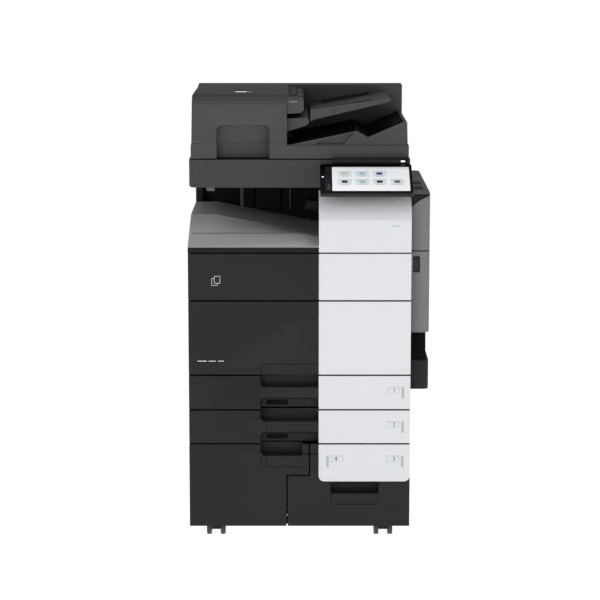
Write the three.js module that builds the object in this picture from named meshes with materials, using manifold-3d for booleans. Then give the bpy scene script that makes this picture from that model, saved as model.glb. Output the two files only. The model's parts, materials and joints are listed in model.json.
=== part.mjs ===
// A floor-standing A3 office copier: document feeder, flatbed scanner, in-body output tray,
// tilting touch panel, two front doors, four paper drawers, a right side unit and four twin casters.
// Millimetres. Machine coordinates: x right of the body's centre line, y back from the front panels, z up.
import * as THREE from "three";
import { mergeVertices } from "three/addons/utils/BufferGeometryUtils.js";
import Module from "manifold-3d";

const wasm = await Module();
wasm.setup();

// ---------- driving dimensions ----------
const HALF_WIDTH = 307.5; // the body is 615 wide
const DEPTH = 688;
const COLUMN_X = 53; // left edge of the white column on the front
const FRONT_DEPTH = 20; // front panels, outside face to back edge
const INSERT_DEPTH = 8; // white inserts laid on the black fronts
const SKIN = 3; // moulded wall
const SEAM = 4; // gap between front panels
const TOUCH = 0.3; // gap between pieces that meet
const GRIP_DEPTH = 33; // finger pockets
const LEVEL = {
  frontsBottom: 40,
  drawerPairTop: 278,
  drawer2Top: 375,
  drawer1Top: 473,
  frontDoorTop: 682,
  tonerDoorTop: 815,
  trimTop: 830,
  scannerBottom: 985,
  scannerTop: 1062,
  feederBottom: 1065,
  feederSplit: 1107,
  feedCoverBottom: 1217,
  feederTop: 1243,
};

// ---------- materials ----------
function finish(color, roughness, metalness = 0) {
  return new THREE.MeshStandardMaterial({ color, roughness, metalness });
}
const blackPlastic = finish(0x2b2c2e, 0.55);
const feederPlastic = finish(0x4a4b4c, 0.55);
const whitePlastic = finish(0xe2e3e5, 0.5);
const trayGrey = finish(0x8c8d8f, 0.55);
const sideGrey = finish(0x7c7d7f, 0.5);
const binGrey = finish(0x5d6064, 0.6);
const frameSteel = finish(0xb4b8ba, 0.4, 0.9);
const glossBlack = finish(0x08090c, 0.08);
const clearGlass = finish(0xcfe0dc, 0.05);
const tyreGrey = finish(0x3a3b3d, 0.8);
const tonerPlastic = finish(0x1c1d1f, 0.5);
const drumGreen = finish(0x2f7d6a, 0.15);

// ---------- solids ----------
function toSolid(geometry) {
  const bare = geometry.index ? geometry.toNonIndexed() : geometry.clone();
  for (const name of Object.keys(bare.attributes)) {
    if (name !== "position") bare.deleteAttribute(name);
  }
  const merged = mergeVertices(bare, 1e-4);
  const triVerts = new Uint32Array(merged.index.array);
  return new wasm.Manifold(
    new wasm.Mesh({ numProp: 3, vertProperties: merged.attributes.position.array, triVerts }),
  );
}

function toGeometry(solid) {
  const mesh = solid.getMesh();
  const corners = new Float32Array(mesh.numVert * 3);
  for (let i = 0; i < mesh.numVert; i++) {
    corners.set(mesh.vertProperties.subarray(i * mesh.numProp, i * mesh.numProp + 3), i * 3);
  }
  const geometry = new THREE.BufferGeometry();
  geometry.setAttribute("position", new THREE.BufferAttribute(corners, 3));
  geometry.setIndex(new THREE.BufferAttribute(mesh.triVerts, 1));
  geometry.computeVertexNormals();
  return geometry;
}

const join = (...solids) => solids.reduce((all, next) => all.add(next));
const cut = (solid, ...tools) => tools.reduce((left, tool) => left.subtract(tool), solid);

// A block between two values on each axis.
function block([x0, x1], [y0, y1], [z0, z1]) {
  const geometry = new THREE.BoxGeometry(x1 - x0, y1 - y0, z1 - z0);
  geometry.translate((x0 + x1) / 2, (y0 + y1) / 2, (z0 + z1) / 2);
  return toSolid(geometry);
}

function shapeOf(points) {
  return new THREE.Shape(points.map(([u, v]) => new THREE.Vector2(u, v)));
}

// A shape carried along an axis: along x it lies in (y, z), along y in (x, z), along z in (x, y).
function prism(axis, shape, from, to, curveSegments = 5) {
  const outline = shape instanceof THREE.Shape ? shape : shapeOf(shape);
  const settings = { depth: to - from, bevelEnabled: false, curveSegments };
  const geometry = new THREE.ExtrudeGeometry(outline, settings);
  if (axis === "z") return toSolid(geometry.translate(0, 0, from));
  geometry.rotateX(Math.PI / 2);
  if (axis === "y") return toSolid(geometry.translate(0, to, 0));
  return toSolid(geometry.rotateZ(Math.PI / 2).translate(from, 0, 0));
}

// A round bar along an axis, between two values.
// (u, v) is its place on the other two axes, in x, y, z order.
function bar(axis, radius, from, to, [u, v], sides = 24) {
  const geometry = new THREE.CylinderGeometry(radius, radius, to - from, sides);
  const middle = (from + to) / 2;
  if (axis === "y") return toSolid(geometry.translate(u, middle, v));
  if (axis === "z") return toSolid(geometry.rotateX(Math.PI / 2).translate(u, v, middle));
  return toSolid(geometry.rotateZ(Math.PI / 2).translate(middle, u, v));
}

// A rectangle whose corners have their own radii, in the order low-low, high-low, high-high, low-high.
function rounded([u0, u1], [v0, v1], [a, b, c, d]) {
  const shape = new THREE.Shape();
  shape.moveTo(u0 + a, v0);
  shape.lineTo(u1 - b, v0);
  if (b) shape.absarc(u1 - b, v0 + b, b, -Math.PI / 2, 0);
  shape.lineTo(u1, v1 - c);
  if (c) shape.absarc(u1 - c, v1 - c, c, 0, Math.PI / 2);
  shape.lineTo(u0 + d, v1);
  if (d) shape.absarc(u0 + d, v1 - d, d, Math.PI / 2, Math.PI);
  shape.lineTo(u0, v0 + a);
  if (a) shape.absarc(u0 + a, v0 + a, a, Math.PI, 1.5 * Math.PI);
  return shape;
}

// A sheet between two height functions over a grid of x and y stations.
function heightSheet(xs, ys, top, bottom) {
  const rows = ys.length;
  const corners = [];
  for (const height of [top, bottom]) {
    for (const x of xs) {
      for (const y of ys) corners.push(x, y, height(x, y));
    }
  }
  const low = xs.length * rows;
  const faces = [];
  const quad = (a, b, c, d) => faces.push(a, b, c, a, c, d);
  for (let i = 0; i + 1 < xs.length; i++) {
    for (let j = 0; j + 1 < rows; j++) {
      const a = i * rows + j;
      quad(a, a + rows, a + rows + 1, a + 1);
      quad(low + a, low + a + 1, low + a + rows + 1, low + a + rows);
    }
    const front = i * rows;
    const back = front + rows - 1;
    quad(low + front, low + front + rows, front + rows, front);
    quad(back, back + rows, low + back + rows, low + back);
  }
  for (let j = 0; j + 1 < rows; j++) {
    const right = (xs.length - 1) * rows + j;
    quad(j, j + 1, low + j + 1, low + j);
    quad(low + right, low + right + 1, right + 1, right);
  }
  const geometry = new THREE.BufferGeometry();
  geometry.setAttribute("position", new THREE.BufferAttribute(new Float32Array(corners), 3));
  geometry.setIndex(faces);
  return toSolid(geometry);
}

// ---------- the tree of assemblies ----------
// An assembly's pivot is where it turns or slides from, in machine coordinates.
function assembly(parent, name, pivot) {
  const group = new THREE.Group();
  group.name = name;
  group.userData.pivot = pivot;
  const base = parent ? parent.userData.pivot : [0, 0, 0];
  group.position.set(pivot[0] - base[0], pivot[1] - base[1], pivot[2] - base[2]);
  if (parent) parent.add(group);
  return group;
}

// Adds a solid worked out in machine coordinates to its assembly.
function add(group, name, solid, material) {
  const [x, y, z] = group.userData.pivot;
  const mesh = new THREE.Mesh(toGeometry(solid).translate(-x, -y, -z), material);
  mesh.name = name;
  group.add(mesh);
}

const machine = assembly(null, "machine", [0, 0, 0]);

// ---------- floor unit ----------
const BASE = [66, 71]; // steel base plate
const STEM_RADIUS = 6;
const CASTER_X = 236;
const CASTER_TRAIL = 18;
const CASTER = { wheelRadius: 25, wheelWidth: 13, track: 39, axleRadius: 4, headTop: 65.4 };
const casters = [
  ["front_left", -CASTER_X, 88, -1],
  ["front_right", CASTER_X, 88, -1],
  ["rear_left", -CASTER_X, 600, 1],
  ["rear_right", CASTER_X, 600, 1],
];

function buildBase() {
  const plate = block([-300, 300], [30, 670], BASE);
  const holes = casters.map(([, x, y]) => bar("z", STEM_RADIUS + 0.4, 60, 80, [x, y]));
  add(machine, "base_plate", cut(plate, ...holes), frameSteel);
}

function buildCaster([place, x, y, side]) {
  const swivel = assembly(machine, `caster_${place}`, [x, y, CASTER.headTop]);
  const axleY = y + side * CASTER_TRAIL;
  const hub = [axleY, CASTER.wheelRadius];
  const inner = CASTER.track / 2 - CASTER.wheelWidth / 2;
  const head = bar("z", 17, 54, CASTER.headTop, [x, y]);
  const stem = bar("z", STEM_RADIUS, 60, 76, [x, y]);
  const yoke = prism(
    "x",
    [
      [axleY - 9, 16],
      [axleY + 9, 16],
      [Math.max(y, axleY) + 10, 58],
      [Math.min(y, axleY) - 10, 58],
    ],
    x - inner + 1,
    x + inner - 1,
  );
  const axleHole = bar("x", CASTER.axleRadius + 0.4, x - 30, x + 30, hub);
  add(swivel, `caster_fork_${place}`, cut(join(head, stem, yoke), axleHole), blackPlastic);
  const turning = assembly(swivel, `wheels_${place}`, [x, ...hub]);
  const wheel = (middle) =>
    bar("x", CASTER.wheelRadius, middle - CASTER.wheelWidth / 2, middle + CASTER.wheelWidth / 2, hub, 32);
  const axle = bar("x", CASTER.axleRadius, x - CASTER.track / 2, x + CASTER.track / 2, hub);
  const wheels = join(wheel(x - CASTER.track / 2), wheel(x + CASTER.track / 2), axle);
  add(turning, `caster_wheels_${place}`, wheels, tyreGrey);
}

// ---------- steel frame and covers ----------
const FRAME_HALF = 303;
const SHEET = 2;
const FRAME_Y = [45, 660];
const FRAME_Z = [71.3, 812];
const SIDE_Z = [45, 984.7];

function buildFrame() {
  const wall = (x) => block([x, x + SHEET], FRAME_Y, FRAME_Z);
  const inner = FRAME_HALF - 1;
  const shelf = (z) => block([-inner, inner], [FRAME_Y[0] + 2, FRAME_Y[1] - 1], [z, z + SHEET]);
  const rail = (x0, x1, z) => block([x0, x1], [FRAME_Y[0] + 1, 600], [z, z + SKIN]);
  const rails = [384, 286].flatMap((z) => [rail(-inner, -270, z), rail(270, inner, z)]);
  const lowRails = [rail(-inner, -285, 80), rail(-46, 40, 80), rail(285, inner, 80)];
  const rear = block([-inner, inner], [FRAME_Y[1] - SHEET, FRAME_Y[1]], [FRAME_Z[0] + 1, FRAME_Z[1] - 1]);
  const divider = block([-4, -2], [FRAME_Y[0] + 3, FRAME_Y[1] - 1], [FRAME_Z[0] + 2, 277]);
  const frame = join(wall(-FRAME_HALF), wall(FRAME_HALF - SHEET), rear, divider, shelf(276), shelf(466));
  add(machine, "main_frame", join(frame, ...rails, ...lowRails), frameSteel);
}

// The column's front, from flat to curved back under the panel, as (y, z).
const COLUMN_CURVE = [
  [0, 905],
  [4, 922],
  [14, 938],
  [32, 954],
  [58, 968],
  [92, 978],
];

// The output well is open on the left, so the left cover steps down in front of it.
const WELL_BACK = 500;
const LEFT_COVER_TOP = 827;

function buildCovers() {
  const leftOutline = [
    [FRONT_DEPTH + 2, SIDE_Z[0]],
    [DEPTH - SKIN - TOUCH, SIDE_Z[0]],
    [DEPTH - SKIN - TOUCH, SIDE_Z[1]],
    [WELL_BACK, SIDE_Z[1]],
    [WELL_BACK, LEFT_COVER_TOP],
    [FRONT_DEPTH + 2, LEFT_COVER_TOP],
  ];
  const sideSlots = (x) =>
    [...Array(9).keys()].map((i) => block([x - 5, x + 5], [440, 600], [600 + 16 * i, 606 + 16 * i]));
  const left = prism("x", leftOutline, -HALF_WIDTH, -HALF_WIDTH + SKIN);
  add(machine, "left_cover", cut(left, ...sideSlots(-HALF_WIDTH)), blackPlastic);

  const underColumn = COLUMN_CURVE.slice(3).map(([y, z]) => [y + SKIN + TOUCH, z - SKIN - TOUCH]);
  const rightOutline = [
    [FRONT_DEPTH + 2, SIDE_Z[0]],
    [DEPTH - SKIN - TOUCH, SIDE_Z[0]],
    [DEPTH - SKIN - TOUCH, SIDE_Z[1]],
    [97, SIDE_Z[1]],
    ...underColumn.reverse(),
    [FRONT_DEPTH + 2, 937],
  ];
  const rightPlate = prism("x", rightOutline, HALF_WIDTH - SKIN, HALF_WIDTH);
  const wing = prism("z", rounded([HALF_WIDTH - 1, 360], [50, 600], [0, 14, 14, 0]), 424, 505);
  const neck = prism("z", rounded([HALF_WIDTH - 1, 352], [58, 600], [0, 10, 10, 0]), 500, 583);
  const hollow = block([HALF_WIDTH - 5, 346], [64, 590], [430, 577]);
  add(machine, "right_cover", cut(join(rightPlate, wing, neck), hollow), blackPlastic);

  const back = block([-HALF_WIDTH, HALF_WIDTH], [DEPTH - SKIN, DEPTH], [75, SIDE_Z[1]]);
  const inletX = [-240, -205];
  const inletZ = [118, 146];
  const grow = ([a, b], by) => [a - by, b + by];
  const inletBox = block(grow(inletX, 2), [DEPTH - 22, DEPTH], grow(inletZ, 2));
  const inletHole = block(inletX, [DEPTH - 20, DEPTH + 1], inletZ);
  const vents = [...Array(12).keys()].map((i) =>
    block([60, 240], [DEPTH - 10, DEPTH + 1], [520 + 18 * i, 526 + 18 * i]),
  );
  add(machine, "rear_cover", cut(join(back, inletBox), inletHole, ...vents), blackPlastic);
}

// ---------- engine behind the doors ----------
const TONER = { x: -120, z: 748, radius: 46 };
const DRUM = { x: 66, z: 600, radius: 40 };

function buildEngine() {
  const plate = block([-299, 299], [40, 44], [474, 811]);
  const beamZ = [LEVEL.tonerDoorTop + 1.5, LEVEL.trimTop];
  const strip = block([-HALF_WIDTH, COLUMN_X - TOUCH], [0, FRONT_DEPTH], beamZ);
  const beam = block([-HALF_WIDTH + SKIN + TOUCH, COLUMN_X - TOUCH], [0, 44], beamZ);
  const web = block([-280, 40], [40, 44], [800, 820]);
  const tonerHole = bar("y", TONER.radius + 4, 30, 50, [TONER.x, TONER.z], 32);
  const drumHole = block([-10, 130], [30, 50], [540, 655]);
  const fuserHole = block([140, 262], [30, 50], [700, 796]);
  const cover = cut(join(plate, strip, beam, web), tonerHole, drumHole, fuserHole);
  add(machine, "inner_cover", cover, blackPlastic);

  const body = bar("y", TONER.radius, 62, 440, [TONER.x, TONER.z], 32);
  const cap = bar("y", TONER.radius - 6, 34, 63, [TONER.x, TONER.z], 32);
  const grip = block([TONER.x - 34, TONER.x + 34], [26, 36], [TONER.z - 6, TONER.z + 6]);
  const bottle = assembly(machine, "toner", [TONER.x, 26, TONER.z]);
  add(bottle, "toner_bottle", join(body, cap, grip), tonerPlastic);

  const spin = assembly(machine, "photoconductor", [DRUM.x, 60, DRUM.z]);
  const shaft = bar("y", 6, 52, 420, [DRUM.x, DRUM.z]);
  const sleeve = bar("y", DRUM.radius, 66, 404, [DRUM.x, DRUM.z], 32);
  add(spin, "photoconductor_drum", join(sleeve, shaft), drumGreen);

  const laser = block([-270, -30], [80, 430], [545, 625]);
  add(machine, "laser_unit", cut(laser, block([-34, -29], [100, 410], [598, 604])), binGrey);
  const fuser = block([145, 257], [36, 430], [705, 790]);
  add(machine, "fuser_unit", cut(fuser, block([195, 205], [60, 410], [704, 791])), binGrey);
}

// ---------- output well ----------
const LIP = { groove: 81, ridge: 200, frontHeight: 835, grooveHeight: 859 };
const BED = { leftX: -240, leftHeight: 897, slope: 0.2 };
const WELL_RIGHT = 56.7;
const bedHeight = (x) => BED.leftHeight - BED.slope * Math.max(0, x - BED.leftX);

// Height of the grey lip: a constant slope to the groove, then up or down to the bed's edge,
// and a dip by the column.
function lipHeight(x, y) {
  const dip = 10 * THREE.MathUtils.smoothstep(x, 0, COLUMN_X) * THREE.MathUtils.smoothstep(y, 0, LIP.groove);
  if (y <= LIP.groove) {
    return LIP.frontHeight + ((LIP.grooveHeight - LIP.frontHeight) * y) / LIP.groove - dip;
  }
  const share = (y - LIP.groove) / (LIP.ridge - LIP.groove);
  return (LIP.grooveHeight - dip) * (1 - share) + bedHeight(x) * share;
}

function buildOutputWell() {
  const wall = HALF_WIDTH - SKIN;
  const stations = [-HALF_WIDTH, BED.leftX, -100, 0, 20, 36, COLUMN_X - TOUCH];
  const depths = [0, 30, LIP.groove, 120, 160, LIP.ridge];
  const foot = LEVEL.trimTop + TOUCH;
  const sheet = heightSheet(stations, depths, lipHeight, (x, y) => Math.max(foot, lipHeight(x, y) - 4));
  const sideOutline = [
    [0, foot],
    [WELL_BACK - TOUCH, foot],
    [WELL_BACK - TOUCH, BED.leftHeight],
    [LIP.ridge, BED.leftHeight],
    [LIP.groove, LIP.grooveHeight],
    [0, LIP.frontHeight],
  ];
  const side = prism("x", sideOutline, -HALF_WIDTH, -wall);
  const skirt = block([-HALF_WIDTH, COLUMN_X - TOUCH], [0, 3], [foot, LIP.frontHeight]);
  add(machine, "tray_lip", join(sheet, side, skirt), trayGrey);

  const bedStations = [-wall + TOUCH, BED.leftX, WELL_RIGHT - TOUCH];
  const bedDepths = [LIP.ridge + TOUCH, WELL_BACK - TOUCH];
  const bed = heightSheet(bedStations, bedDepths, bedHeight, (x) => bedHeight(x) - 4);
  add(machine, "output_tray", bed, trayGrey);

  const plate = block([-wall + TOUCH, WELL_RIGHT], [WELL_BACK, WELL_BACK + 6], [830, SIDE_Z[1]]);
  const post = block([-wall + TOUCH, -292], [WELL_BACK, 650], [830, SIDE_Z[1]]);
  const pocket = [[-288, -176], [WELL_BACK - 1, 560], [884, 948]];
  const pocketWall = block([-291, -173], [WELL_BACK, 563], [881, 951]);
  const slots = [...Array(6).keys()].map((i) =>
    block([-128, -58], [WELL_BACK - 1, WELL_BACK + 7], [884 + 10 * i, 888 + 10 * i]),
  );
  const back = cut(join(plate, post, pocketWall), block(...pocket), ...slots);
  add(machine, "well_back_wall", back, blackPlastic);
}

// ---------- column on the right, under the panel ----------

function buildColumn() {
  const inner = COLUMN_CURVE.map(([y, z]) => [y + SKIN, z - SKIN]);
  const foot = LEVEL.tonerDoorTop + 1.5;
  const section = [[0, foot], [SKIN, foot], ...inner, ...[...COLUMN_CURVE].reverse()];
  const shell = prism("x", section, COLUMN_X, HALF_WIDTH);
  add(machine, "column_cover", shell, whitePlastic);

  const behind = COLUMN_CURVE.map(([y, z]) => [y + 8, z - 10]);
  const outline = [
    [8, 820],
    [650, 820],
    [650, SIDE_Z[1]],
    [100, SIDE_Z[1]],
    [100, 968],
    ...behind.slice(0, -1).reverse(),
  ];
  const housing = prism("x", outline, WELL_RIGHT + TOUCH, HALF_WIDTH - SKIN - TOUCH);
  const exitSlot = block([50, 97], [150, 460], [902, 922]);
  const guide = prism("y", [[14, 908], [60, 900], [60, 926], [22, 930]], 250, 330);
  add(machine, "column_housing", join(cut(housing, exitSlot), cut(guide, exitSlot)), blackPlastic);
}

// ---------- scanner ----------
const SCANNER_Y = [95, 670];
const GLASS = { x: [-226, 226], y: [150, 470] };

function buildScanner() {
  const footprint = rounded([-HALF_WIDTH, HALF_WIDTH], SCANNER_Y, [20, 20, 6, 6]);
  const plan = prism("z", footprint, LEVEL.scannerBottom, LEVEL.scannerTop);
  const section = prism(
    "y",
    rounded([-HALF_WIDTH, HALF_WIDTH], [LEVEL.scannerBottom, LEVEL.scannerTop], [8, 8, 0, 0]),
    SCANNER_Y[0],
    SCANNER_Y[1],
  );
  const hollow = block([-300, 300], [103, 662], [991, 1057]);
  const ledge = block(GLASS.x, GLASS.y, [1058, 1070]);
  const hole = block([GLASS.x[0] + 6, GLASS.x[1] - 6], [GLASS.y[0] + 6, GLASS.y[1] - 6], [1050, 1070]);
  add(machine, "scanner_case", cut(plan.intersect(section), hollow, ledge, hole), feederPlastic);
  const pane = block(
    [GLASS.x[0] + TOUCH, GLASS.x[1] - TOUCH],
    [GLASS.y[0] + TOUCH, GLASS.y[1] - TOUCH],
    [1058 + TOUCH, LEVEL.scannerTop],
  );
  add(machine, "platen_glass", pane, clearGlass);
  const carriage = assembly(machine, "carriage", [-215, 120, 1015]);
  const lampSection = [
    [-215, 1015],
    [-170, 1015],
    [-170, 1048],
    [-188, 1048],
    [-193, 1034],
    [-198, 1048],
    [-215, 1048],
  ];
  const lamp = prism("y", lampSection, 120, 500);
  add(carriage, "scan_carriage", lamp, binGrey);
}

// ---------- touch panel ----------
const PANEL = { left: 56, right: 308.5, height: 151.6, edge: 12, topY: 66, topZ: 1054, tilt: 25.4 };
const PANEL_PIVOT = [182, 72, 1045];

function buildPanel() {
  const armOutline = [[94.7, 996], [94.7, 1068], [71, 1068], [67, 1064], [67, 1058], [79, 1057], [79, 1006]];
  add(machine, "panel_arm", prism("x", armOutline, 92, 304), blackPlastic);

  const hinge = assembly(machine, "panel", PANEL_PIVOT);
  const turned = new THREE.Group();
  turned.position.set(PANEL.left - PANEL_PIVOT[0], PANEL.topY - PANEL_PIVOT[1], PANEL.topZ - PANEL_PIVOT[2]);
  turned.rotation.x = THREE.MathUtils.degToRad(PANEL.tilt);
  turned.userData.pivot = [0, 0, 0];
  hinge.add(turned);
  const width = PANEL.right - PANEL.left;
  const slab = prism("z", rounded([0, width], [-PANEL.height, 0], [7, 7, 7, 7]), -PANEL.edge, -2.3);
  const box = prism("z", rounded([30, 222], [-122, -24], [10, 10, 10, 10]), -26, -10);
  add(turned, "panel_housing", join(slab, box), blackPlastic);
  const pane = prism("z", rounded([0.5, width - 0.5], [-PANEL.height + 0.5, -0.5], [7, 7, 7, 7]), -2, 0);
  add(turned, "panel_glass", pane, glossBlack);
}

// ---------- front doors ----------
// A black front across the whole width, hollow at the back, stepped back on the right for the white insert.
function frontShell([z0, z1]) {
  const outline = new THREE.Shape();
  const step = INSERT_DEPTH + TOUCH;
  const radius = 5;
  outline.moveTo(-HALF_WIDTH + radius, 0);
  outline.lineTo(COLUMN_X - TOUCH, 0);
  outline.lineTo(COLUMN_X - TOUCH, step);
  outline.lineTo(HALF_WIDTH, step);
  outline.lineTo(HALF_WIDTH, FRONT_DEPTH);
  outline.lineTo(-HALF_WIDTH, FRONT_DEPTH);
  outline.lineTo(-HALF_WIDTH, radius);
  outline.absarc(-HALF_WIDTH + radius, radius, radius, Math.PI, 1.5 * Math.PI);
  const solid = prism("z", outline, z0, z1);
  const inZ = [z0 + SKIN, z1 - SKIN];
  const leftHollow = block([-HALF_WIDTH + SKIN, COLUMN_X - SKIN], [SKIN, FRONT_DEPTH + 1], inZ);
  const rightHollow = block([COLUMN_X + SKIN, HALF_WIDTH - SKIN], [step + SKIN, FRONT_DEPTH + 1], inZ);
  return cut(solid, leftHollow, rightHollow);
}

function insertPlate([z0, z1], corners = [0, 0, 0, 0]) {
  return prism("y", rounded([COLUMN_X, HALF_WIDTH], [z0, z1], corners), 0, INSERT_DEPTH);
}

const between = (low, high) => [low + SEAM / 2, high - SEAM / 2];
const SCOOP_LEFT = -107;
const SCOOP_RADIUS = 11;

function buildDoors() {
  const tonerZ = between(LEVEL.frontDoorTop, LEVEL.tonerDoorTop);
  const toner = assembly(machine, "toner_lid", [0, 0, tonerZ[0]]);
  add(toner, "toner_door", frontShell(tonerZ), blackPlastic);
  add(toner, "toner_door_insert", insertPlate(tonerZ), whitePlastic);

  const doorZ = between(LEVEL.drawer1Top, LEVEL.frontDoorTop);
  const front = assembly(machine, "front_lid", [0, 0, doorZ[0]]);
  const backing = block([SCOOP_LEFT - 3, COLUMN_X - 1], [2, 9], [doorZ[0], 507]);
  const scoopOutline = rounded([SCOOP_LEFT, COLUMN_X + 1], [doorZ[0] - 5, 504], [0, 0, 0, SCOOP_RADIUS]);
  const scoop = prism("y", scoopOutline, -1, 5);
  const clearInsert = block([COLUMN_X - TOUCH, 80], [-1, INSERT_DEPTH + TOUCH], [460, 520]);
  add(front, "front_door", cut(join(frontShell(doorZ), backing), scoop, clearInsert), blackPlastic);
  add(front, "front_door_insert", insertPlate(doorZ), whitePlastic);
}

// ---------- paper drawers ----------
const BIN_FRONT = 36.3;
const BIN_BACK = 452;

// An open-topped bin with 3 mm walls.
function bin([x0, x1], [z0, z1]) {
  const inside = block([x0 + SKIN, x1 - SKIN], [BIN_FRONT + SKIN, BIN_BACK - SKIN], [z0 + SKIN, z1 + 1]);
  return cut(block([x0, x1], [BIN_FRONT, BIN_BACK], [z0, z1]), inside);
}

// The two shared drawers: a bar across a finger pocket that runs the full height of the front.
function buildCassette(number, low, high) {
  const z = between(low, high);
  const barZ = [low + 32, low + 66];
  const drawer = assembly(machine, `drawer_${number}`, [0, 0, z[0]]);
  const pocketBox = block([SCOOP_LEFT - 3, COLUMN_X + 3], [2, GRIP_DEPTH + SKIN], z);
  const gripX = [SCOOP_LEFT, COLUMN_X];
  const over = prism("y", rounded(gripX, [barZ[1], z[1] + 5], [SCOOP_RADIUS, 0, 0, 0]), -1, GRIP_DEPTH);
  const under = prism("y", rounded(gripX, [z[0] - 5, barZ[0]], [0, 0, 0, SCOOP_RADIUS]), -1, GRIP_DEPTH);
  const behind = block([SCOOP_LEFT + SCOOP_RADIUS, COLUMN_X], [8, GRIP_DEPTH], [barZ[0] - 12, barZ[1] + 12]);
  const seat = block([COLUMN_X - TOUCH, HALF_WIDTH + 1], [-1, INSERT_DEPTH + TOUCH], [z[0] - 1, z[1] + 1]);
  const face = cut(join(frontShell(z), pocketBox), over, under, behind, seat);
  add(drawer, `tray_${number}_front`, face, blackPlastic);
  add(drawer, `tray_${number}_insert`, insertPlate(z), whitePlastic);
  add(drawer, `tray_${number}_bin`, bin([-278, 278], [low + 13, low + 77]), binGrey);
  const lift = assembly(drawer, `lift_${number}`, [-70, BIN_FRONT, low + 18]);
  const plate = block([-70, 270], [60, 430], [low + 18, low + 20]);
  add(lift, `tray_${number}_lift_plate`, plate, frameSteel);
}

const SPLIT = { upperX: 28, lowerX: -35, z: 188 };
const HIGH_BIN_Z = [84, 262];

// One front of the lower pair: an outline seen from the front, hollow at the back.
function pairFront(outline, hollow) {
  return cut(prism("y", outline, 0, FRONT_DEPTH), ...hollow);
}

function buildRightDrawer() {
  const [bottom, top] = between(LEVEL.frontsBottom, LEVEL.drawerPairTop);
  const gap = SEAM / 2;
  const drawer = assembly(machine, "drawer_3", [0, 0, bottom]);
  const outline = [
    [SPLIT.lowerX + gap, bottom],
    [HALF_WIDTH, bottom],
    [HALF_WIDTH, top],
    [SPLIT.upperX + gap, top],
    [SPLIT.upperX + gap, SPLIT.z - gap],
    [SPLIT.lowerX + gap, SPLIT.z - gap],
  ];
  const hollows = [
    block([SPLIT.lowerX + 5, HALF_WIDTH - SKIN], [SKIN, FRONT_DEPTH + 1], [bottom + SKIN, 100]),
    block([225, HALF_WIDTH - SKIN], [SKIN + 9, FRONT_DEPTH + 1], [100, top - SKIN]),
  ];
  const insertZ = [170, top];
  const grip = { x: [86, 221], barLow: 104, barTop: 137 };
  const over = prism("y", rounded(grip.x, [grip.barTop, insertZ[0] - 0.5], [6, 6, 0, 0]), -1, GRIP_DEPTH);
  const behind = block([grip.x[0] + 4, grip.x[1] - 4], [8, GRIP_DEPTH], [grip.barLow + 4, grip.barTop + 12]);
  const pocketX = [grip.x[0] - 4, grip.x[1] + 4];
  const pocketBox = block(pocketX, [2, GRIP_DEPTH + SKIN], [grip.barLow, insertZ[0] + 4]);
  const seatTop = 20;
  const seat = prism(
    "y",
    rounded([COLUMN_X - TOUCH, HALF_WIDTH + TOUCH], [insertZ[0] - TOUCH, top + seatTop], [16, 16, 0, 0]),
    -1,
    INSERT_DEPTH + TOUCH,
  );
  const notch = block([SPLIT.upperX, COLUMN_X + 1], [-1, 5], [246, top + 1]);
  const shell = join(pairFront(outline, hollows), pocketBox);
  add(drawer, "tray_3_front", cut(shell, over, behind, seat, notch), blackPlastic);
  add(drawer, "tray_3_insert", insertPlate(insertZ, [16, 16, 0, 0]), whitePlastic);
  add(drawer, "tray_3_bin", bin([34, 294], HIGH_BIN_Z), binGrey);
  const lift = assembly(drawer, "lift_3", [40, 60, HIGH_BIN_Z[0] + 6]);
  const plate = block([40, 288], [60, 430], [HIGH_BIN_Z[0] + 6, HIGH_BIN_Z[0] + 9]);
  add(lift, "tray_3_lift_plate", plate, frameSteel);
}

function buildLeftDrawer() {
  const [bottom, top] = between(LEVEL.frontsBottom, LEVEL.drawerPairTop);
  const gap = SEAM / 2;
  const drawer = assembly(machine, "drawer_4", [0, 0, bottom]);
  const outline = [
    [-HALF_WIDTH, bottom],
    [SPLIT.lowerX - gap, bottom],
    [SPLIT.lowerX - gap, SPLIT.z + gap],
    [SPLIT.upperX - gap, SPLIT.z + gap],
    [SPLIT.upperX - gap, top],
    [-HALF_WIDTH, top],
  ];
  const hollows = [
    block([-HALF_WIDTH + SKIN, SPLIT.lowerX - 5], [SKIN, FRONT_DEPTH + 1], [bottom + SKIN, 180]),
    block([-HALF_WIDTH + SKIN, SCOOP_LEFT - 8], [SKIN, FRONT_DEPTH + 1], [180, top - SKIN]),
  ];
  const grip = { x: [SCOOP_LEFT, 8], barLow: 212, barTop: 246 };
  const over = prism("y", rounded(grip.x, [grip.barTop, top + 5], [SCOOP_RADIUS, 4, 0, 0]), -1, GRIP_DEPTH);
  const behind = block([grip.x[0] + 4, grip.x[1] - 4], [8, GRIP_DEPTH], [grip.barLow + 4, grip.barTop + 12]);
  const pocketBox = block([grip.x[0] - 4, grip.x[1] + 4], [2, GRIP_DEPTH + SKIN], [grip.barLow, top]);
  const notch = block([0, SPLIT.upperX], [-1, 5], [grip.barTop, top + 1]);
  const shell = join(pairFront(outline, hollows), pocketBox);
  add(drawer, "tray_4_front", cut(shell, over, behind, notch), blackPlastic);
  add(drawer, "tray_4_bin", bin([-294, -40], HIGH_BIN_Z), binGrey);
  const lift = assembly(drawer, "lift_4", [-288, 60, HIGH_BIN_Z[0] + 6]);
  const plate = block([-288, -46], [60, 430], [HIGH_BIN_Z[0] + 6, HIGH_BIN_Z[0] + 9]);
  add(lift, "tray_4_lift_plate", plate, frameSteel);
}

// ---------- right side unit ----------
const SIDE_UNIT = { inner: HALF_WIDTH + TOUCH, outer: 361, front: 45, back: 640, corner: 20 };
const DOOR_HINGE = [355, SIDE_UNIT.back, 586];
const BYPASS_HINGE = [356, 140, 613];

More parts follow.
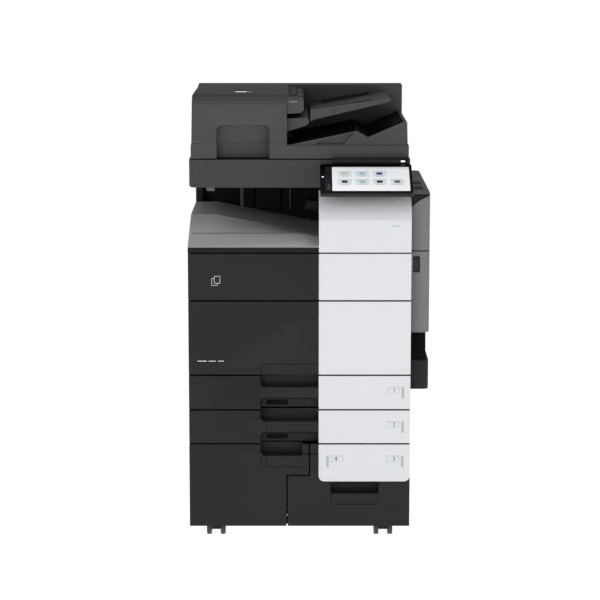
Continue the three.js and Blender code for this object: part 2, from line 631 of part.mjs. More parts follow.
// A shell open towards the body, with rounded outer corners seen from above.
function sideShell(z0, z1) {
  const { inner, outer, front, back, corner } = SIDE_UNIT;
  const solid = prism("z", rounded([inner, outer], [front, back], [0, corner, corner, 0]), z0, z1);
  return cut(solid, block([inner - 1, outer - 16], [front + SKIN, back - SKIN], [z0 + SKIN, z1 - SKIN]));
}

function buildSideUnit() {
  const slots = [];
  for (const y of [130, 265]) {
    for (let i = 0; i < 5; i++) slots.push(block([318 + 6 * i, 321 + 6 * i], [y, y + 85], [970, 976]));
  }
  add(machine, "exhaust_cover", cut(sideShell(816, 975), ...slots), sideGrey);

  const door = assembly(machine, "side_door", DOOR_HINGE);
  const latch = [[314, 333], [SIDE_UNIT.front - 1, 66], [755, 801]];
  const latchWall = block([311, 336], [SIDE_UNIT.front + 1, 69], [752, 804]);
  const bay = block([343, 365], [137, 523], [600, 803]);
  const leaf = cut(join(sideShell(586, 813), latchWall), block(...latch), bay);
  add(door, "right_door", leaf, sideGrey);

  const tray = assembly(door, "bypass", BYPASS_HINGE);
  const flap = block([347, 360], [140, 520], [607, 800]);
  const fingerNotch = block([354, 362], [290, 370], [785, 802]);
  add(tray, "bypass_tray", cut(flap, fingerNotch), sideGrey);
}

// ---------- document feeder ----------
const FEEDER = { left: -300, right: 303, front: 100, back: 600, split: -35, rearWall: 490 };
const FEEDER_HINGE = { y: 636, z: 1079, pin: 5, xs: [-200, 200] };
const GRIP = { x: [-230, -83], top: 1158, back: 138, radius: 16 };

function buildFeederHinges() {
  FEEDER_HINGE.xs.forEach((x, i) => {
    const post = block([x - 18, x + 18], [612, 660], [LEVEL.scannerTop + TOUCH, FEEDER_HINGE.z + 9]);
    const pin = bar("x", FEEDER_HINGE.pin, x - 34, x + 34, [FEEDER_HINGE.y, FEEDER_HINGE.z]);
    add(machine, `feeder_hinge_${i ? "right" : "left"}`, join(post, pin), frameSteel);
  });
}

function buildFeeder() {
  const feeder = assembly(machine, "feeder", [0, FEEDER_HINGE.y, FEEDER_HINGE.z]);
  const { left, right, front, back, split, rearWall } = FEEDER;
  const slabTop = 1101;
  const slab = block([left - 2, right], [front, back], [LEVEL.feederBottom, slabTop]);
  const foot = block([left - 1, split], [front, rearWall - 1], [slabTop - 1, LEVEL.feederSplit - TOUCH]);
  const rampOutline = [
    [split + 2, slabTop - 1],
    [right - 3, slabTop - 1],
    [right - 5, 1165],
    [289, 1167],
    [189, 1124],
    [159, 1142],
    [split + 2, slabTop + 1],
  ];
  const exitRamp = prism("y", rampOutline, front + 5, rearWall - 1);
  const recessOutline = [
    [42, slabTop + 3],
    [122, slabTop + 3],
    [152, 1136],
    [58, 1115],
  ];
  const fingerRecess = prism("y", recessOutline, front, front + 17);
  const lugs = FEEDER_HINGE.xs.flatMap((x) =>
    [x - 31, x + 19].map((lugX) => {
      const armZ = [FEEDER_HINGE.z - 11, FEEDER_HINGE.z + 11];
      const arm = block([lugX, lugX + 12], [back - 10, FEEDER_HINGE.y], armZ);
      return join(arm, bar("x", 11, lugX, lugX + 12, [FEEDER_HINGE.y, FEEDER_HINGE.z]));
    }),
  );
  const pinHoles = FEEDER_HINGE.xs.map((x) =>
    bar("x", FEEDER_HINGE.pin + 0.5, x - 40, x + 40, [FEEDER_HINGE.y, FEEDER_HINGE.z]),
  );
  const gripCut = block(GRIP.x, [front - 1, GRIP.back], [1060, 1110]);
  const padSeat = block([-240, 240], [142, 478], [1060, 1068]);
  const body = cut(join(slab, foot, exitRamp, ...lugs), ...pinHoles, gripCut, padSeat, fingerRecess);
  add(feeder, "feeder_base", body, feederPlastic);

  const rearOutline = [
    [rearWall, slabTop + TOUCH],
    [back, slabTop + TOUCH],
    [back, 1200],
    [575, LEVEL.feederTop],
    [rearWall, LEVEL.feederTop],
  ];
  const rear = prism("x", rearOutline, left + 2, right - 2);
  const hollowZ = [slabTop - 1, LEVEL.feederTop - SKIN];
  const rearHollow = block([left + 5, right - 5], [rearWall + SKIN, 570], hollowZ);
  add(feeder, "feeder_rear_housing", cut(rear, rearHollow), feederPlastic);

  const boxBottom = LEVEL.feederSplit;
  const boxOutline = [
    [left, boxBottom],
    [split, boxBottom],
    [split, 1216.7],
    [left + 2, 1216.7],
  ];
  const box = prism("y", boxOutline, front, rearWall - TOUCH);
  const inside = block([left + 5, split - SKIN], [front + SKIN, rearWall - 5], [boxBottom + SKIN, 1220]);
  const gripWallX = [GRIP.x[0] - 3, GRIP.x[1] + 3];
  const gripWall = block(gripWallX, [front + 1, GRIP.back + 3], [boxBottom, GRIP.top + 3]);
  const gripHole = prism(
    "y",
    rounded(GRIP.x, [1100, GRIP.top], [0, 0, GRIP.radius, GRIP.radius]),
    front - 1,
    GRIP.back,
  );
  const exitGap = block([split - 5, split + 1], [130, 470], [1112, 1132]);
  const throatSection = [
    [split - 1, 1137],
    [20, 1155],
    [27, 1163],
    [24, 1177],
    [split - 1, 1174],
  ];
  const throat = prism("y", throatSection, 128, 480);
  const entry = block([split - 5, split + 1], [130, 470], [1180, 1212]);
  const housing = cut(join(cut(box, inside), gripWall), gripHole, exitGap, entry);
  add(feeder, "feeder_housing", join(housing, throat), feederPlastic);

  const lid = assembly(feeder, "feed_lid", [left + 2, front, LEVEL.feedCoverBottom]);
  const lidOutline = [
    [left + 2, LEVEL.feedCoverBottom],
    [split + TOUCH, LEVEL.feedCoverBottom],
    [split + TOUCH, 1188],
    [4, 1191],
    [12, 1198],
    [12, 1226],
    [6, 1234],
    [split + 6, 1237],
    [split, LEVEL.feederTop],
    [left + 6, LEVEL.feederTop],
    [left + 3, 1240],
  ];
  const lidBack = rearWall - TOUCH;
  const lidSide = [
    [front, LEVEL.feedCoverBottom - 40],
    [lidBack, LEVEL.feedCoverBottom - 40],
    [lidBack, LEVEL.feederTop + 1],
    [front + 17, LEVEL.feederTop + 1],
    [front + 7, 1236],
    [front + 1, 1225],
    [front, LEVEL.feedCoverBottom],
  ];
  const cover = prism("y", lidOutline, front, lidBack).intersect(prism("x", lidSide, left, 20));
  const lipFront = block([split + TOUCH, 20], [front - 1, front + 8], [1180, 1232]);
  add(lid, "feed_cover", cut(cover, lipFront), feederPlastic);
}

// ---------- document tray ----------
const DOC_TRAY = { left: 30, right: 252, y: [126, 482], slope: 0.175, leftHeight: 1187 };
const docHeight = (x) => DOC_TRAY.leftHeight + DOC_TRAY.slope * (x - DOC_TRAY.left);

function buildDocumentTray() {
  const feeder = machine.getObjectByName("feeder");
  const tray = assembly(feeder, "document_rest", [DOC_TRAY.left, DOC_TRAY.y[0], 1166]);
  const { left, right, y } = DOC_TRAY;
  const under = [
    [left, 1166],
    [left + 6, 1170],
    [right - 4, docHeight(right) - 6],
    [right, docHeight(right) - 2],
  ];
  const plate = prism("y", [...under, [right, docHeight(right)], [left, docHeight(left)]], y[0], y[1]);
  const rimSection = [...under, [right, docHeight(right) + 6], [left, docHeight(left) + 12]];
  const rim = prism("y", rimSection, y[0], y[0] + 5);
  const joints = [96, 162].map((x) => block([x, x + 2], [y[0] - 1, y[0] + 1.5], [1160, 1240]));
  add(tray, "document_tray", cut(join(plate, rim), ...joints), feederPlastic);

  const guide = (name, y0) => {
    const slide = assembly(tray, name, [60, y0, docHeight(60)]);
    const onTray = (x, height) => [x, docHeight(x) + height];
    const fence = [onTray(60, 0.5), onTray(205, 0.5), onTray(200, 9), onTray(66, 10)];
    const flange = [onTray(70, 0.5), onTray(160, 0.5), onTray(160, 3), onTray(70, 3)];
    const inward = name === "guide_front" ? [y0 + 2, y0 + 30] : [y0 - 27, y0 + 1];
    const upright = prism("y", fence, y0, y0 + 3);
    add(slide, `document_${name}`, join(upright, prism("y", flange, ...inward)), blackPlastic);
  };
  guide("guide_front", 146);
  guide("guide_rear", 446);
}

buildBase();
casters.forEach(buildCaster);
buildFrame();
buildCovers();
buildEngine();
buildOutputWell();
buildColumn();
buildScanner();
buildPanel();
buildDoors();
buildCassette(1, LEVEL.drawer2Top, LEVEL.drawer1Top);
buildCassette(2, LEVEL.drawerPairTop, LEVEL.drawer2Top);
buildRightDrawer();
buildLeftDrawer();
buildSideUnit();
buildFeederHinges();
buildFeeder();
buildDocumentTray();

// The part's own origin is on the floor, under the middle of its bounding box.
machine.updateMatrixWorld(true);
const middle = new THREE.Box3().setFromObject(machine, true).getCenter(new THREE.Vector3());
machine.position.set(-middle.x, -middle.y, 0);

export default machine;
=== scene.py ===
"""A floor-standing office copier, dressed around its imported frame.

Sizes are millimetres in machine coordinates: x right of the body's centre line, y back from the
front panels, z up from the floor. They become metres in the row frame when a mesh is made.
"""

import json
import logging
import math
from dataclasses import dataclass, field
from enum import Enum
from typing import NamedTuple

import bmesh
import bpy
import numpy as np
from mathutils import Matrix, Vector


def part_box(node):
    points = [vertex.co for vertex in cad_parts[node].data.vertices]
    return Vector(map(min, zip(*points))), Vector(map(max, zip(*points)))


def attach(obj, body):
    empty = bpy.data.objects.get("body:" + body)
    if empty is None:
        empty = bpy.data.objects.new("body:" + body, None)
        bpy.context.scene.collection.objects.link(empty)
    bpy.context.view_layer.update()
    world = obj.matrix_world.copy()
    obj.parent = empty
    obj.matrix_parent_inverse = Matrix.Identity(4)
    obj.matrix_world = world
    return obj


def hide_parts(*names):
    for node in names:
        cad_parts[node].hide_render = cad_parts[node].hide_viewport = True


Socket = bpy.types.NodeSocket
Tree = bpy.types.NodeTree

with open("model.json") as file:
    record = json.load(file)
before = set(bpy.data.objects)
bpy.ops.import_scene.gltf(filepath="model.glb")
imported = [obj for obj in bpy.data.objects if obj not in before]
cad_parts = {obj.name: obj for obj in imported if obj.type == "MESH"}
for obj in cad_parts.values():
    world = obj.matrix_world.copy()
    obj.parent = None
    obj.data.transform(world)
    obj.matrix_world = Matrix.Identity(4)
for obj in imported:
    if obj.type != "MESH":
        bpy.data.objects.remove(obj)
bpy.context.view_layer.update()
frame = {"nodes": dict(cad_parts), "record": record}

MM = 0.001
CREASE_DEG = 32  # an edge sharper than this stays sharp in the shading
ROUNDED_DEG = 34  # an edge sharper than this is rounded on a moulding
FLAT_DEG = 0.6  # faces that turn by less than this are one flat face
CAD_WELD_M = 2e-5  # points of a CAD mesh this close are one
PRINT_WELD_M = 1e-6  # and of a printed numeral
PRINT_MM = 0.15  # how far a numeral stands up, and how much its strokes are thickened
EDGE_RINGS = 4  # rings up a plate's rounded edge
CORNER_POINTS = 6  # points round each of its corners
SCREW_POINTS = 20  # points round a screw head
SLEEVE_POINTS = 24  # points round a roller or a button
WHEEL_POINTS = 48  # points round a caster wheel
LOG = logging.getLogger("copier")
# The machine's own origin: the base plate's middle, at the front doors' outer face.
ORIGIN = np.array(
    [sum(corner.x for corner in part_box("base_plate")) / 2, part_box("toner_door")[0].y, 0.0]
)
NODES = frame["nodes"]
BODY_OF = {node: body for body, nodes in frame["record"]["behaviour"]["bodies"].items() for node in nodes}
SLOT_OF = {part["node"]: part["material_slot"] for part in frame["record"]["subparts"]}


# ---------------------------------------------------------------- materials


def linear(code: str) -> tuple[float, float, float, float]:
    """Turns an sRGB hex colour to linear light.

    Args:
        code: six hex digits.

    Returns:
        Linear red, green, blue and an alpha of one.
    """
    parts = np.array([int(code[i : i + 2], 16) / 255 for i in (0, 2, 4)])
    light = np.where(parts <= 0.04045, parts / 12.92, ((parts + 0.055) / 1.055) ** 2.4)
    return (*map(float, light), 1.0)


def shade(color: tuple, factor: float, lift: float = 0.0) -> tuple[float, float, float, float]:
    """Multiplies a linear colour by a factor and adds a lift, kept between nought and one."""
    return (*(min(1.0, max(0.0, part * factor + lift)) for part in color[:3]), 1.0)


def add_node(
    tree: Tree, kind: str, settings: dict | None = None, links: dict | None = None
) -> bpy.types.Node:
    """Adds one shader node.

    Args:
        tree: the material's node tree.
        kind: the node's type, without the ShaderNode prefix.
        settings: attribute values by name, and socket values by socket name or number.
        links: output sockets by the input they feed.

    Returns:
        The new node.
    """
    node = tree.nodes.new("ShaderNode" + kind)
    for key, value in (settings or {}).items():
        if isinstance(key, str) and hasattr(node, key):
            setattr(node, key, value)
        else:
            node.inputs[key].default_value = value
    for key, output in (links or {}).items():
        tree.links.new(output, node.inputs[key])
    return node


def noise(tree: Tree, place: Socket, **settings: float) -> Socket:
    """A noise texture's value at a place; the settings are its inputs, in lower case."""
    inputs = {key.capitalize(): value for key, value in settings.items()}
    return add_node(tree, "TexNoise", inputs, {"Vector": place}).outputs["Fac"]


def blend(tree: Tree, first: tuple, second: tuple, factor: Socket) -> Socket:
    """Two colours mixed by a factor."""
    return add_node(tree, "MixRGB", {"blend_type": "MIX", 1: first, 2: second}, {0: factor}).outputs[0]


def remap(tree: Tree, value: Socket, source: tuple, target: tuple) -> Socket:
    """A value carried from its source range to a target range."""
    limits = {"From Min": source[0], "From Max": source[1], "To Min": target[0], "To Max": target[1]}
    return add_node(tree, "MapRange", limits, {"Value": value}).outputs[0]


def bumps(tree: Tree, height: Socket, strength: float, mm: float) -> Socket:
    """A normal tilted by a height, whose full range stands for so many millimetres."""
    settings = {"Strength": strength, "Distance": mm * MM}
    return add_node(tree, "Bump", settings, {"Height": height}).outputs[0]


def blank_material(name: str) -> tuple[bpy.types.Material, Tree, bpy.types.Node, Socket]:
    """Makes a material with one Principled shader.

    Args:
        name: the material's name.

    Returns:
        The material, its node tree, its shader node and the object's own coordinates.
    """
    material = bpy.data.materials.new(name)
    material.use_nodes = True
    tree = material.node_tree
    place = add_node(tree, "TexCoord").outputs["Object"]
    return material, tree, tree.nodes["Principled BSDF"], place


def edge_mask(tree: Tree, radius: float) -> Socket:
    """How much a point lies on an edge: one less the dot product of the true normal and a rounded one.

    Args:
        tree: the material's node tree.
        radius: the rounding radius, in metres.

    Returns:
        A socket from 0 on flat ground to 1 on an edge.
    """
    soft = add_node(tree, "Bevel", {"samples": 4, "Radius": radius})
    true = add_node(tree, "NewGeometry")
    dot = add_node(
        tree, "VectorMath", {"operation": "DOT_PRODUCT"}, {0: soft.outputs[0], 1: true.outputs["Normal"]}
    )
    return remap(tree, dot.outputs["Value"], (0.99, 0.80), (0.0, 1.0))


@dataclass(frozen=True)
class MouldedPlastic:
    """Injection-moulded ABS: a fine spark-eroded grain that breaks up the gloss, and edges rubbed paler."""

    name: str
    color: str
    roughness: float = 0.5
    grain_mm: float = 1.1  # real grain is near 0.3 mm, drawn coarser so that it shows
    grain_depth: float = 0.12
    mottle: float = 0.06
    wear: float = 0.10
    gloss: float = 0.32  # the grain scatters most of the sheen

    def make(self) -> bpy.types.Material:
        """Builds the material and returns it."""
        material, tree, shader, place = blank_material(self.name)
        base = linear(self.color)
        grain = noise(tree, place, scale=1000 / self.grain_mm / 3, detail=3.0, roughness=0.6)
        cloud = noise(tree, place, scale=6.0, detail=4.0, roughness=0.55)
        tint = blend(tree, shade(base, 1 - self.mottle), shade(base, 1 + self.mottle), cloud)
        edge = edge_mask(tree, 1.2 * MM)
        paler = shade(base, 1.0 + 4 * self.wear, 0.015)
        worn = add_node(tree, "MixRGB", {"blend_type": "MIX", 2: paler}, {0: edge, 1: tint})
        rough = remap(tree, cloud, (0.3, 0.7), (self.roughness - 0.07, self.roughness + 0.07))
        tree.links.new(worn.outputs[0], shader.inputs["Base Color"])
        tree.links.new(rough, shader.inputs["Roughness"])
        tree.links.new(bumps(tree, grain, self.grain_depth, 0.1), shader.inputs["Normal"])
        shader.inputs["IOR"].default_value = 1.53
        shader.inputs["Specular IOR Level"].default_value = self.gloss
        return material


@dataclass(frozen=True)
class ZincSteel:
    """Zinc-coated sheet steel: crystals a few millimetres across, each catching light its own way."""

    name: str = "zinc_coated_steel"
    color: str = "a9adb0"
    spangle_mm: float = 7.0

    def make(self) -> bpy.types.Material:
        """Builds the material and returns it."""
        material, tree, shader, place = blank_material(self.name)
        crystals = add_node(tree, "TexVoronoi", {"Scale": 1000 / self.spangle_mm}, {"Vector": place})
        spangle = crystals.outputs["Color"]
        base = linear(self.color)
        tint = blend(tree, shade(base, 0.82), shade(base, 1.1), spangle)
        tree.links.new(tint, shader.inputs["Base Color"])
        tree.links.new(remap(tree, spangle, (0.0, 1.0), (0.32, 0.5)), shader.inputs["Roughness"])
        shader.inputs["Metallic"].default_value = 1.0
        return material


@dataclass(frozen=True)
class GlossPanel:
    """Cover glass or polished plastic: black, coloured or clear, with faint finger marks in its gloss."""

    name: str
    color: str
    roughness: float = 0.06
    clear: float = 0.0
    gloss: float = 0.5

    def make(self) -> bpy.types.Material:
        """Builds the material and returns it."""
        material, tree, shader, place = blank_material(self.name)
        smear = noise(tree, place, scale=28.0, detail=5.0, distortion=1.2)
        rough = remap(tree, smear, (0.42, 0.75), (self.roughness, self.roughness + 0.14))
        tree.links.new(rough, shader.inputs["Roughness"])
        shader.inputs["Base Color"].default_value = linear(self.color)
        shader.inputs["IOR"].default_value = 1.5
        shader.inputs["Transmission Weight"].default_value = self.clear
        shader.inputs["Specular IOR Level"].default_value = self.gloss
        return material


@dataclass(frozen=True)
class Tread:
    """Hard polyurethane caster tread: dull, with dust worked into fine scuffs round it."""

    name: str = "caster_tread"
    color: str = "35363a"

    def make(self) -> bpy.types.Material:
        """Builds the material and returns it."""
        material, tree, shader, place = blank_material(self.name)
        dust = noise(tree, place, scale=180.0, detail=6.0, roughness=0.7)
        base = linear(self.color)
        tint = blend(tree, shade(base, 0.85), shade(base, 1.5), dust)
        bump = bumps(tree, dust, 0.25, 0.2)
        tree.links.new(tint, shader.inputs["Base Color"])
        tree.links.new(bump, shader.inputs["Normal"])
        shader.inputs["Roughness"].default_value = 0.72
        return material


@dataclass(frozen=True)
class Lit:
    """A backlit display layer or lamp: light through a diffuser, a touch uneven across its width."""

    name: str
    color: str
    strength: float = 0.5

    def make(self) -> bpy.types.Material:
        """Builds the material and returns it."""
        material, tree, shader, place = blank_material(self.name)
        glow = noise(tree, place, scale=9.0, detail=1.0)
        base = linear(self.color)
        tint = blend(tree, shade(base, 0.94), shade(base, 1.03), glow)
        tree.links.new(tint, shader.inputs["Base Color"])
        tree.links.new(tint, shader.inputs["Emission Color"])
        shader.inputs["Emission Strength"].default_value = self.strength
        shader.inputs["Roughness"].default_value = 0.3
        return material


class Finish(Enum):
    """Every finish on the machine."""

    BLACK = MouldedPlastic("charcoal_abs", "1f2022", 0.5, gloss=0.2)
    # Painted shade, near black: shadow lines, sheets in gaps and the dark of holes, vents, the grille and
    # the exit ramp; also a few dark seams and parts.
    SHADE_AND_SEAM = MouldedPlastic("painted_shade_and_seam_black", "0b0b0c", 0.7, wear=0.0, gloss=0.08)
    WELL = MouldedPlastic("well_black_abs", "1b1c1e", 0.6, gloss=0.15)
    TRIM = MouldedPlastic("trim_black_abs", "17181a", 0.5, gloss=0.15)
    FEEDER = MouldedPlastic("dark_grey_abs", "3e3f3f", 0.48)
    SCANNER = MouldedPlastic("scanner_grey_abs", "353736", 0.5)
    WHITE = MouldedPlastic("satin_white_abs", "cfd1d4", 0.42, 0.8, 0.05, 0.012, 0.02)
    # Painted shade on the output lip's crease and skirt.
    LIP_SHADE = MouldedPlastic("painted_lip_shade", "7b7c7f", 0.6, wear=0.0)
    LIP = MouldedPlastic("mid_grey_abs", "bcbdbf", 0.52)
    SIDE = MouldedPlastic("side_grey_abs", "6f7072", 0.46)
    BIN = MouldedPlastic("blue_grey_abs", "5d6064", 0.55)
    TONER = MouldedPlastic("toner_black_polypropylene", "1c1d1f", 0.4)
    GAUGE = MouldedPlastic("gauge_grey_abs", "b9bcc0", 0.4, 0.8, 0.04, 0.02, 0.02)
    RIM = MouldedPlastic("label_rim_abs", "979ba0", 0.4, 0.8, 0.03, 0.02, 0.02)
    INK = MouldedPlastic("dark_print", "6a6e74", 0.6, 0.8, 0.02, 0.02, 0.0)
    PALE_INK = MouldedPlastic("pale_print", "c4c8cc", 0.5, 0.8, 0.02, 0.02, 0.0)
    BLUE_INK = MouldedPlastic("blue_print", "7f9fd0", 0.5, 0.8, 0.02, 0.02, 0.0)
    LEVER = MouldedPlastic("release_green_abs", "3f8f6a", 0.42)
    STEEL = ZincSteel()
    SCREW = ZincSteel("screw_zinc", "9a9ea2", 3.0)
    PANEL = GlossPanel("black_cover_glass", "040506", 0.05, 0.0, 0.15)
    GLASS = GlossPanel("clear_plate_glass", "dfeee9", 0.02, 0.95)
    DRUM = GlossPanel("coated_drum", "2f7d6a", 0.12)
    TREAD = Tread()
    SCREEN = Lit("backlit_white", "f2f4f6", 0.35)
    MENU = Lit("backlit_menu", "16181c", 0.15)
    TILE = Lit("backlit_tile", "dfe4ea", 0.3)
    GREEN_MARK = Lit("backlit_green", "b9cfa6", 0.3)
    TEAL_MARK = Lit("backlit_teal", "8fc4c9", 0.3)
    BLUE_MARK = Lit("backlit_blue", "26408a", 0.2)
    QUIET = Lit("backlit_grey", "6b7078", 0.1)
    DARK_MARK = Lit("backlit_dark", "23272e", 0.2)
    LAMP = Lit("lamp_white", "dfe9f5", 1.2)

    @property
    def material(self) -> bpy.types.Material:
        """The finish's material, made the first time it is asked for."""
        found = bpy.data.materials.get(self.value.name)
        return found if found else self.value.make()


SLOT_FINISH = {
    "black_plastic": Finish.BLACK,
    "feeder_plastic": Finish.FEEDER,
    "white_plastic": Finish.WHITE,
    "tray_grey": Finish.LIP,
    "side_grey": Finish.SIDE,
    "bin_grey": Finish.BIN,
    "frame_steel": Finish.STEEL,
    "panel_glass": Finish.PANEL,
    "glass": Finish.GLASS,
    "tyre": Finish.TREAD,
    "toner_plastic": Finish.TONER,
    "drum": Finish.DRUM,
}


# ---------------------------------------------------------------- shapes


@dataclass(frozen=True)
class Plane:
    """A working plane: a point in machine millimetres, and unit vectors to its right and up it."""

    at: tuple[float, float, float]
    right: tuple[float, float, float] = (1.0, 0.0, 0.0)
    up: tuple[float, float, float] = (0.0, 0.0, 1.0)

    def world(self, local: np.ndarray) -> np.ndarray:
        """Carries local (right, up, out) millimetres to row-frame metres: at + a right + b up + c out."""
        axes = np.array([self.right, self.up, np.cross(self.right, self.up)])
        return ORIGIN + MM * (np.array(self.at) + local @ axes)


def facing_front(x: float, y: float, z: float) -> Plane:
    """A plane that faces the front."""
    return Plane((x, y, z))


def facing_up(x: float, y: float, z: float, slope: float = 0.0) -> Plane:
    """A plane that faces up, rising to the right at a slope in radians."""
    return Plane((x, y, z), (math.cos(slope), 0.0, math.sin(slope)), (0.0, 1.0, 0.0))


def facing_right(x: float, y: float, z: float) -> Plane:
    """A plane that faces the machine's right side."""
    return Plane((x, y, z), (0.0, 1.0, 0.0))


def facing_back(x: float, y: float, z: float) -> Plane:
    """A plane that faces the back."""
    return Plane((x, y, z), (-1.0, 0.0, 0.0))


def slab_rings(width: float, height: float, depth: float, radius: float, edge: float) -> np.ndarray:
    """Rings of a rounded plate: corner centres plus (radius - inset) times the corner's unit circle.

    Each ring lies at one step of the edge's quarter circle, where inset = edge (1 - cos t) and
    height out = depth - edge + edge sin t.

    Args:
        width: size along right.
        height: size along up.
        depth: size along out, from the plane.
        radius: corner radius seen from the front.
        edge: rounding of the outer edge.

    Returns:
        An array of rings by points by (right, up, out), in millimetres.
    """
    # Small margins keep the inner ring from shrinking to a point.
    radius = min(max(radius, edge + 0.05), width / 2 - 0.01, height / 2 - 0.01)
    edge = min(edge, radius - 0.04)
    steps = np.linspace(0, math.pi / 2, EDGE_RINGS)
    insets = np.concatenate([[0.0], edge * (1 - np.cos(steps))])
    levels = np.concatenate([[0.0], depth - edge + edge * np.sin(steps)])
    arc = np.linspace(0, math.pi / 2, CORNER_POINTS)
    angles = (np.arange(4)[:, None] * math.pi / 2 + arc).ravel()
    sign = np.repeat(np.array([[1, 1], [-1, 1], [-1, -1], [1, -1]]), arc.size, axis=0)
    centres = sign * np.array([width / 2 - radius, height / 2 - radius])
    circle = np.stack([np.cos(angles), np.sin(angles)], axis=1)
    flat = centres[None] + (radius - insets)[:, None, None] * circle[None]
    out = np.broadcast_to(levels[:, None, None], (*flat.shape[:2], 1))
    return np.concatenate([flat, out], axis=2)


def turned_rings(profile: list[tuple[float, float]], sides: int) -> np.ndarray:
    """Rings of a turned form: each (radius, height) of the profile carried round the out axis.

    Args:
        profile: radius and height out of the plane, from the bottom up.
        sides: points round each ring.

    Returns:
        An array of rings by points by (right, up, out), in millimetres.
    """
    radius, height = np.array(profile, float).T
    angle = np.linspace(0, 2 * math.pi, sides, endpoint=False)
    flat = radius[:, None, None] * np.stack([np.cos(angle), np.sin(angle)], axis=1)[None]
    out = np.broadcast_to(height[:, None, None], (*flat.shape[:2], 1))
    return np.concatenate([flat, out], axis=2)


class Dress(NamedTuple):
    """What a piece wears and where it belongs: its finish, the body it rides and the record's slot."""

    finish: Finish
    body: str
    slot: str


def dark(body: str, slot: str = "black_plastic") -> Dress:
    """The dress of painted shade, such as a shadow line or a dark sheet in a gap, and of a few dark seams
    and parts.
    """
    return Dress(Finish.SHADE_AND_SEAM, body, slot)


def shell(name: str, rings: np.ndarray, plane: Plane, dress: Dress) -> bpy.types.Object:
    """Skins rings into one closed mesh: a quad between neighbours, and a face over each end.

    Args:
        name: the piece's name.
        rings: rings by points by (right, up, out), in millimetres.
        plane: the plane the rings stand on.
        dress: its finish, body and slot.

    Returns:
        The new piece.
    """
    rows, count = rings.shape[:2]
    points = plane.world(rings.reshape(-1, 3))
    here = np.arange(rows * count).reshape(rows, count)
    beside = np.roll(here, -1, axis=1)
    quads = np.stack([here[:-1], beside[:-1], beside[1:], here[1:]], axis=2).reshape(-1, 4)
    faces = [*quads.tolist(), here[0][::-1].tolist(), here[-1].tolist()]
    mesh = bpy.data.meshes.new(name)
    mesh.from_pydata(points.tolist(), [], faces)
    return finish_piece(name, mesh, dress)


def stroke(path: list[tuple[float, float]], width: float) -> np.ndarray:
    """The outline of a band along a path: each point is moved half the width to either side of it.

    Args:
        path: (right, up) points, in millimetres.
        width: the band's width, in millimetres.

    Returns:
        Closed outline points: down one side of the path and back up the other.
    """
    points = np.array(path, float)
    along = np.gradient(points, axis=0)
    along /= np.linalg.norm(along, axis=1, keepdims=True)
    aside = np.stack([-along[:, 1], along[:, 0]], axis=1) * width / 2
    return np.concatenate([points - aside, (points + aside)[::-1]])


def corner(x: float, z: float, radius: float, start_deg: float, end_deg: float) -> list[tuple[float, float]]:
    """Points round a rounded corner about its centre, without the first, where the line before it ends."""
    angle = np.radians(np.linspace(start_deg, end_deg, 7))
    return list(zip(x + radius * np.cos(angle), z + radius * np.sin(angle)))[1:]


def cutout(name: str, outline: np.ndarray, plane: Plane, depth: float, dress: Dress) -> bpy.types.Object:
    """A flat piece of any outline that stands out of a plane by its depth."""
    flat = np.asarray(outline, float)
    rings = np.stack([np.column_stack([flat, np.full(len(flat), level)]) for level in (0.0, depth)])
    return shell(name, rings, plane, dress)


def finish_piece(name: str, mesh: bpy.types.Mesh, dress: Dress) -> bpy.types.Object:
    """Shades a mesh smooth up to a crease angle, dresses it and puts it on its body.

    Args:
        name: the piece's name.
        mesh: its mesh, already in place.
        dress: its finish, body and slot.

    Returns:
        The new piece.
    """
    finish, body, slot = dress
    mesh.polygons.foreach_set("use_smooth", np.ones(len(mesh.polygons), bool))
    mesh.set_sharp_from_angle(angle=math.radians(CREASE_DEG))
    mesh.materials.clear()
    mesh.materials.append(finish.material)
    piece = bpy.data.objects.new(name, mesh)
    bpy.context.scene.collection.objects.link(piece)
    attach(piece, body)
    return piece


def plate(
    name: str, plane: Plane, size: tuple[float, float, float], dress: Dress, radius: float, edge: float
) -> bpy.types.Object:
    """A rounded plate that stands out of a plane; size is its width, height and depth."""
    return shell(name, slab_rings(*size, radius, edge), plane, dress)


def weld(mesh: bpy.types.Mesh, distance: float, flat_deg: float = 0.0) -> None:
    """Joins a mesh's doubled points.

    Args:
        mesh: the mesh to change.
        distance: how close two points are to be one, in metres.
        flat_deg: faces that turn by less than this are joined as well; none are at nought.
    """
    form = bmesh.new()
    form.from_mesh(mesh)
    bmesh.ops.remove_doubles(form, verts=form.verts, dist=distance)
    if flat_deg:
        bmesh.ops.dissolve_limit(
            form, angle_limit=math.radians(flat_deg), verts=form.verts, edges=form.edges
        )
    form.to_mesh(mesh)
    form.free()


def moulded(node: str, finish: Finish, edge_mm: float) -> bpy.types.Object:
    """Stands in for a CAD node with a copy whose edges are rounded as a moulding's are.

    Args:
        node: the CAD node's name.
        finish: the copy's finish.
        edge_mm: the width of the rounding.

    Returns:
        The new piece.
    """
    mesh = NODES[node].data.copy()
    weld(mesh, CAD_WELD_M, FLAT_DEG)
    piece = finish_piece(f"{node}_moulding", mesh, Dress(finish, BODY_OF[node], SLOT_OF[node]))
    rounding = piece.modifiers.new("rounding", "BEVEL")
    rounding.width = edge_mm * MM
    rounding.segments = 2
    rounding.limit_method = "ANGLE"
    rounding.angle_limit = math.radians(ROUNDED_DEG)
    rounding.use_clamp_overlap = True
    rounding.harden_normals = True
    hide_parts(node)
    return piece


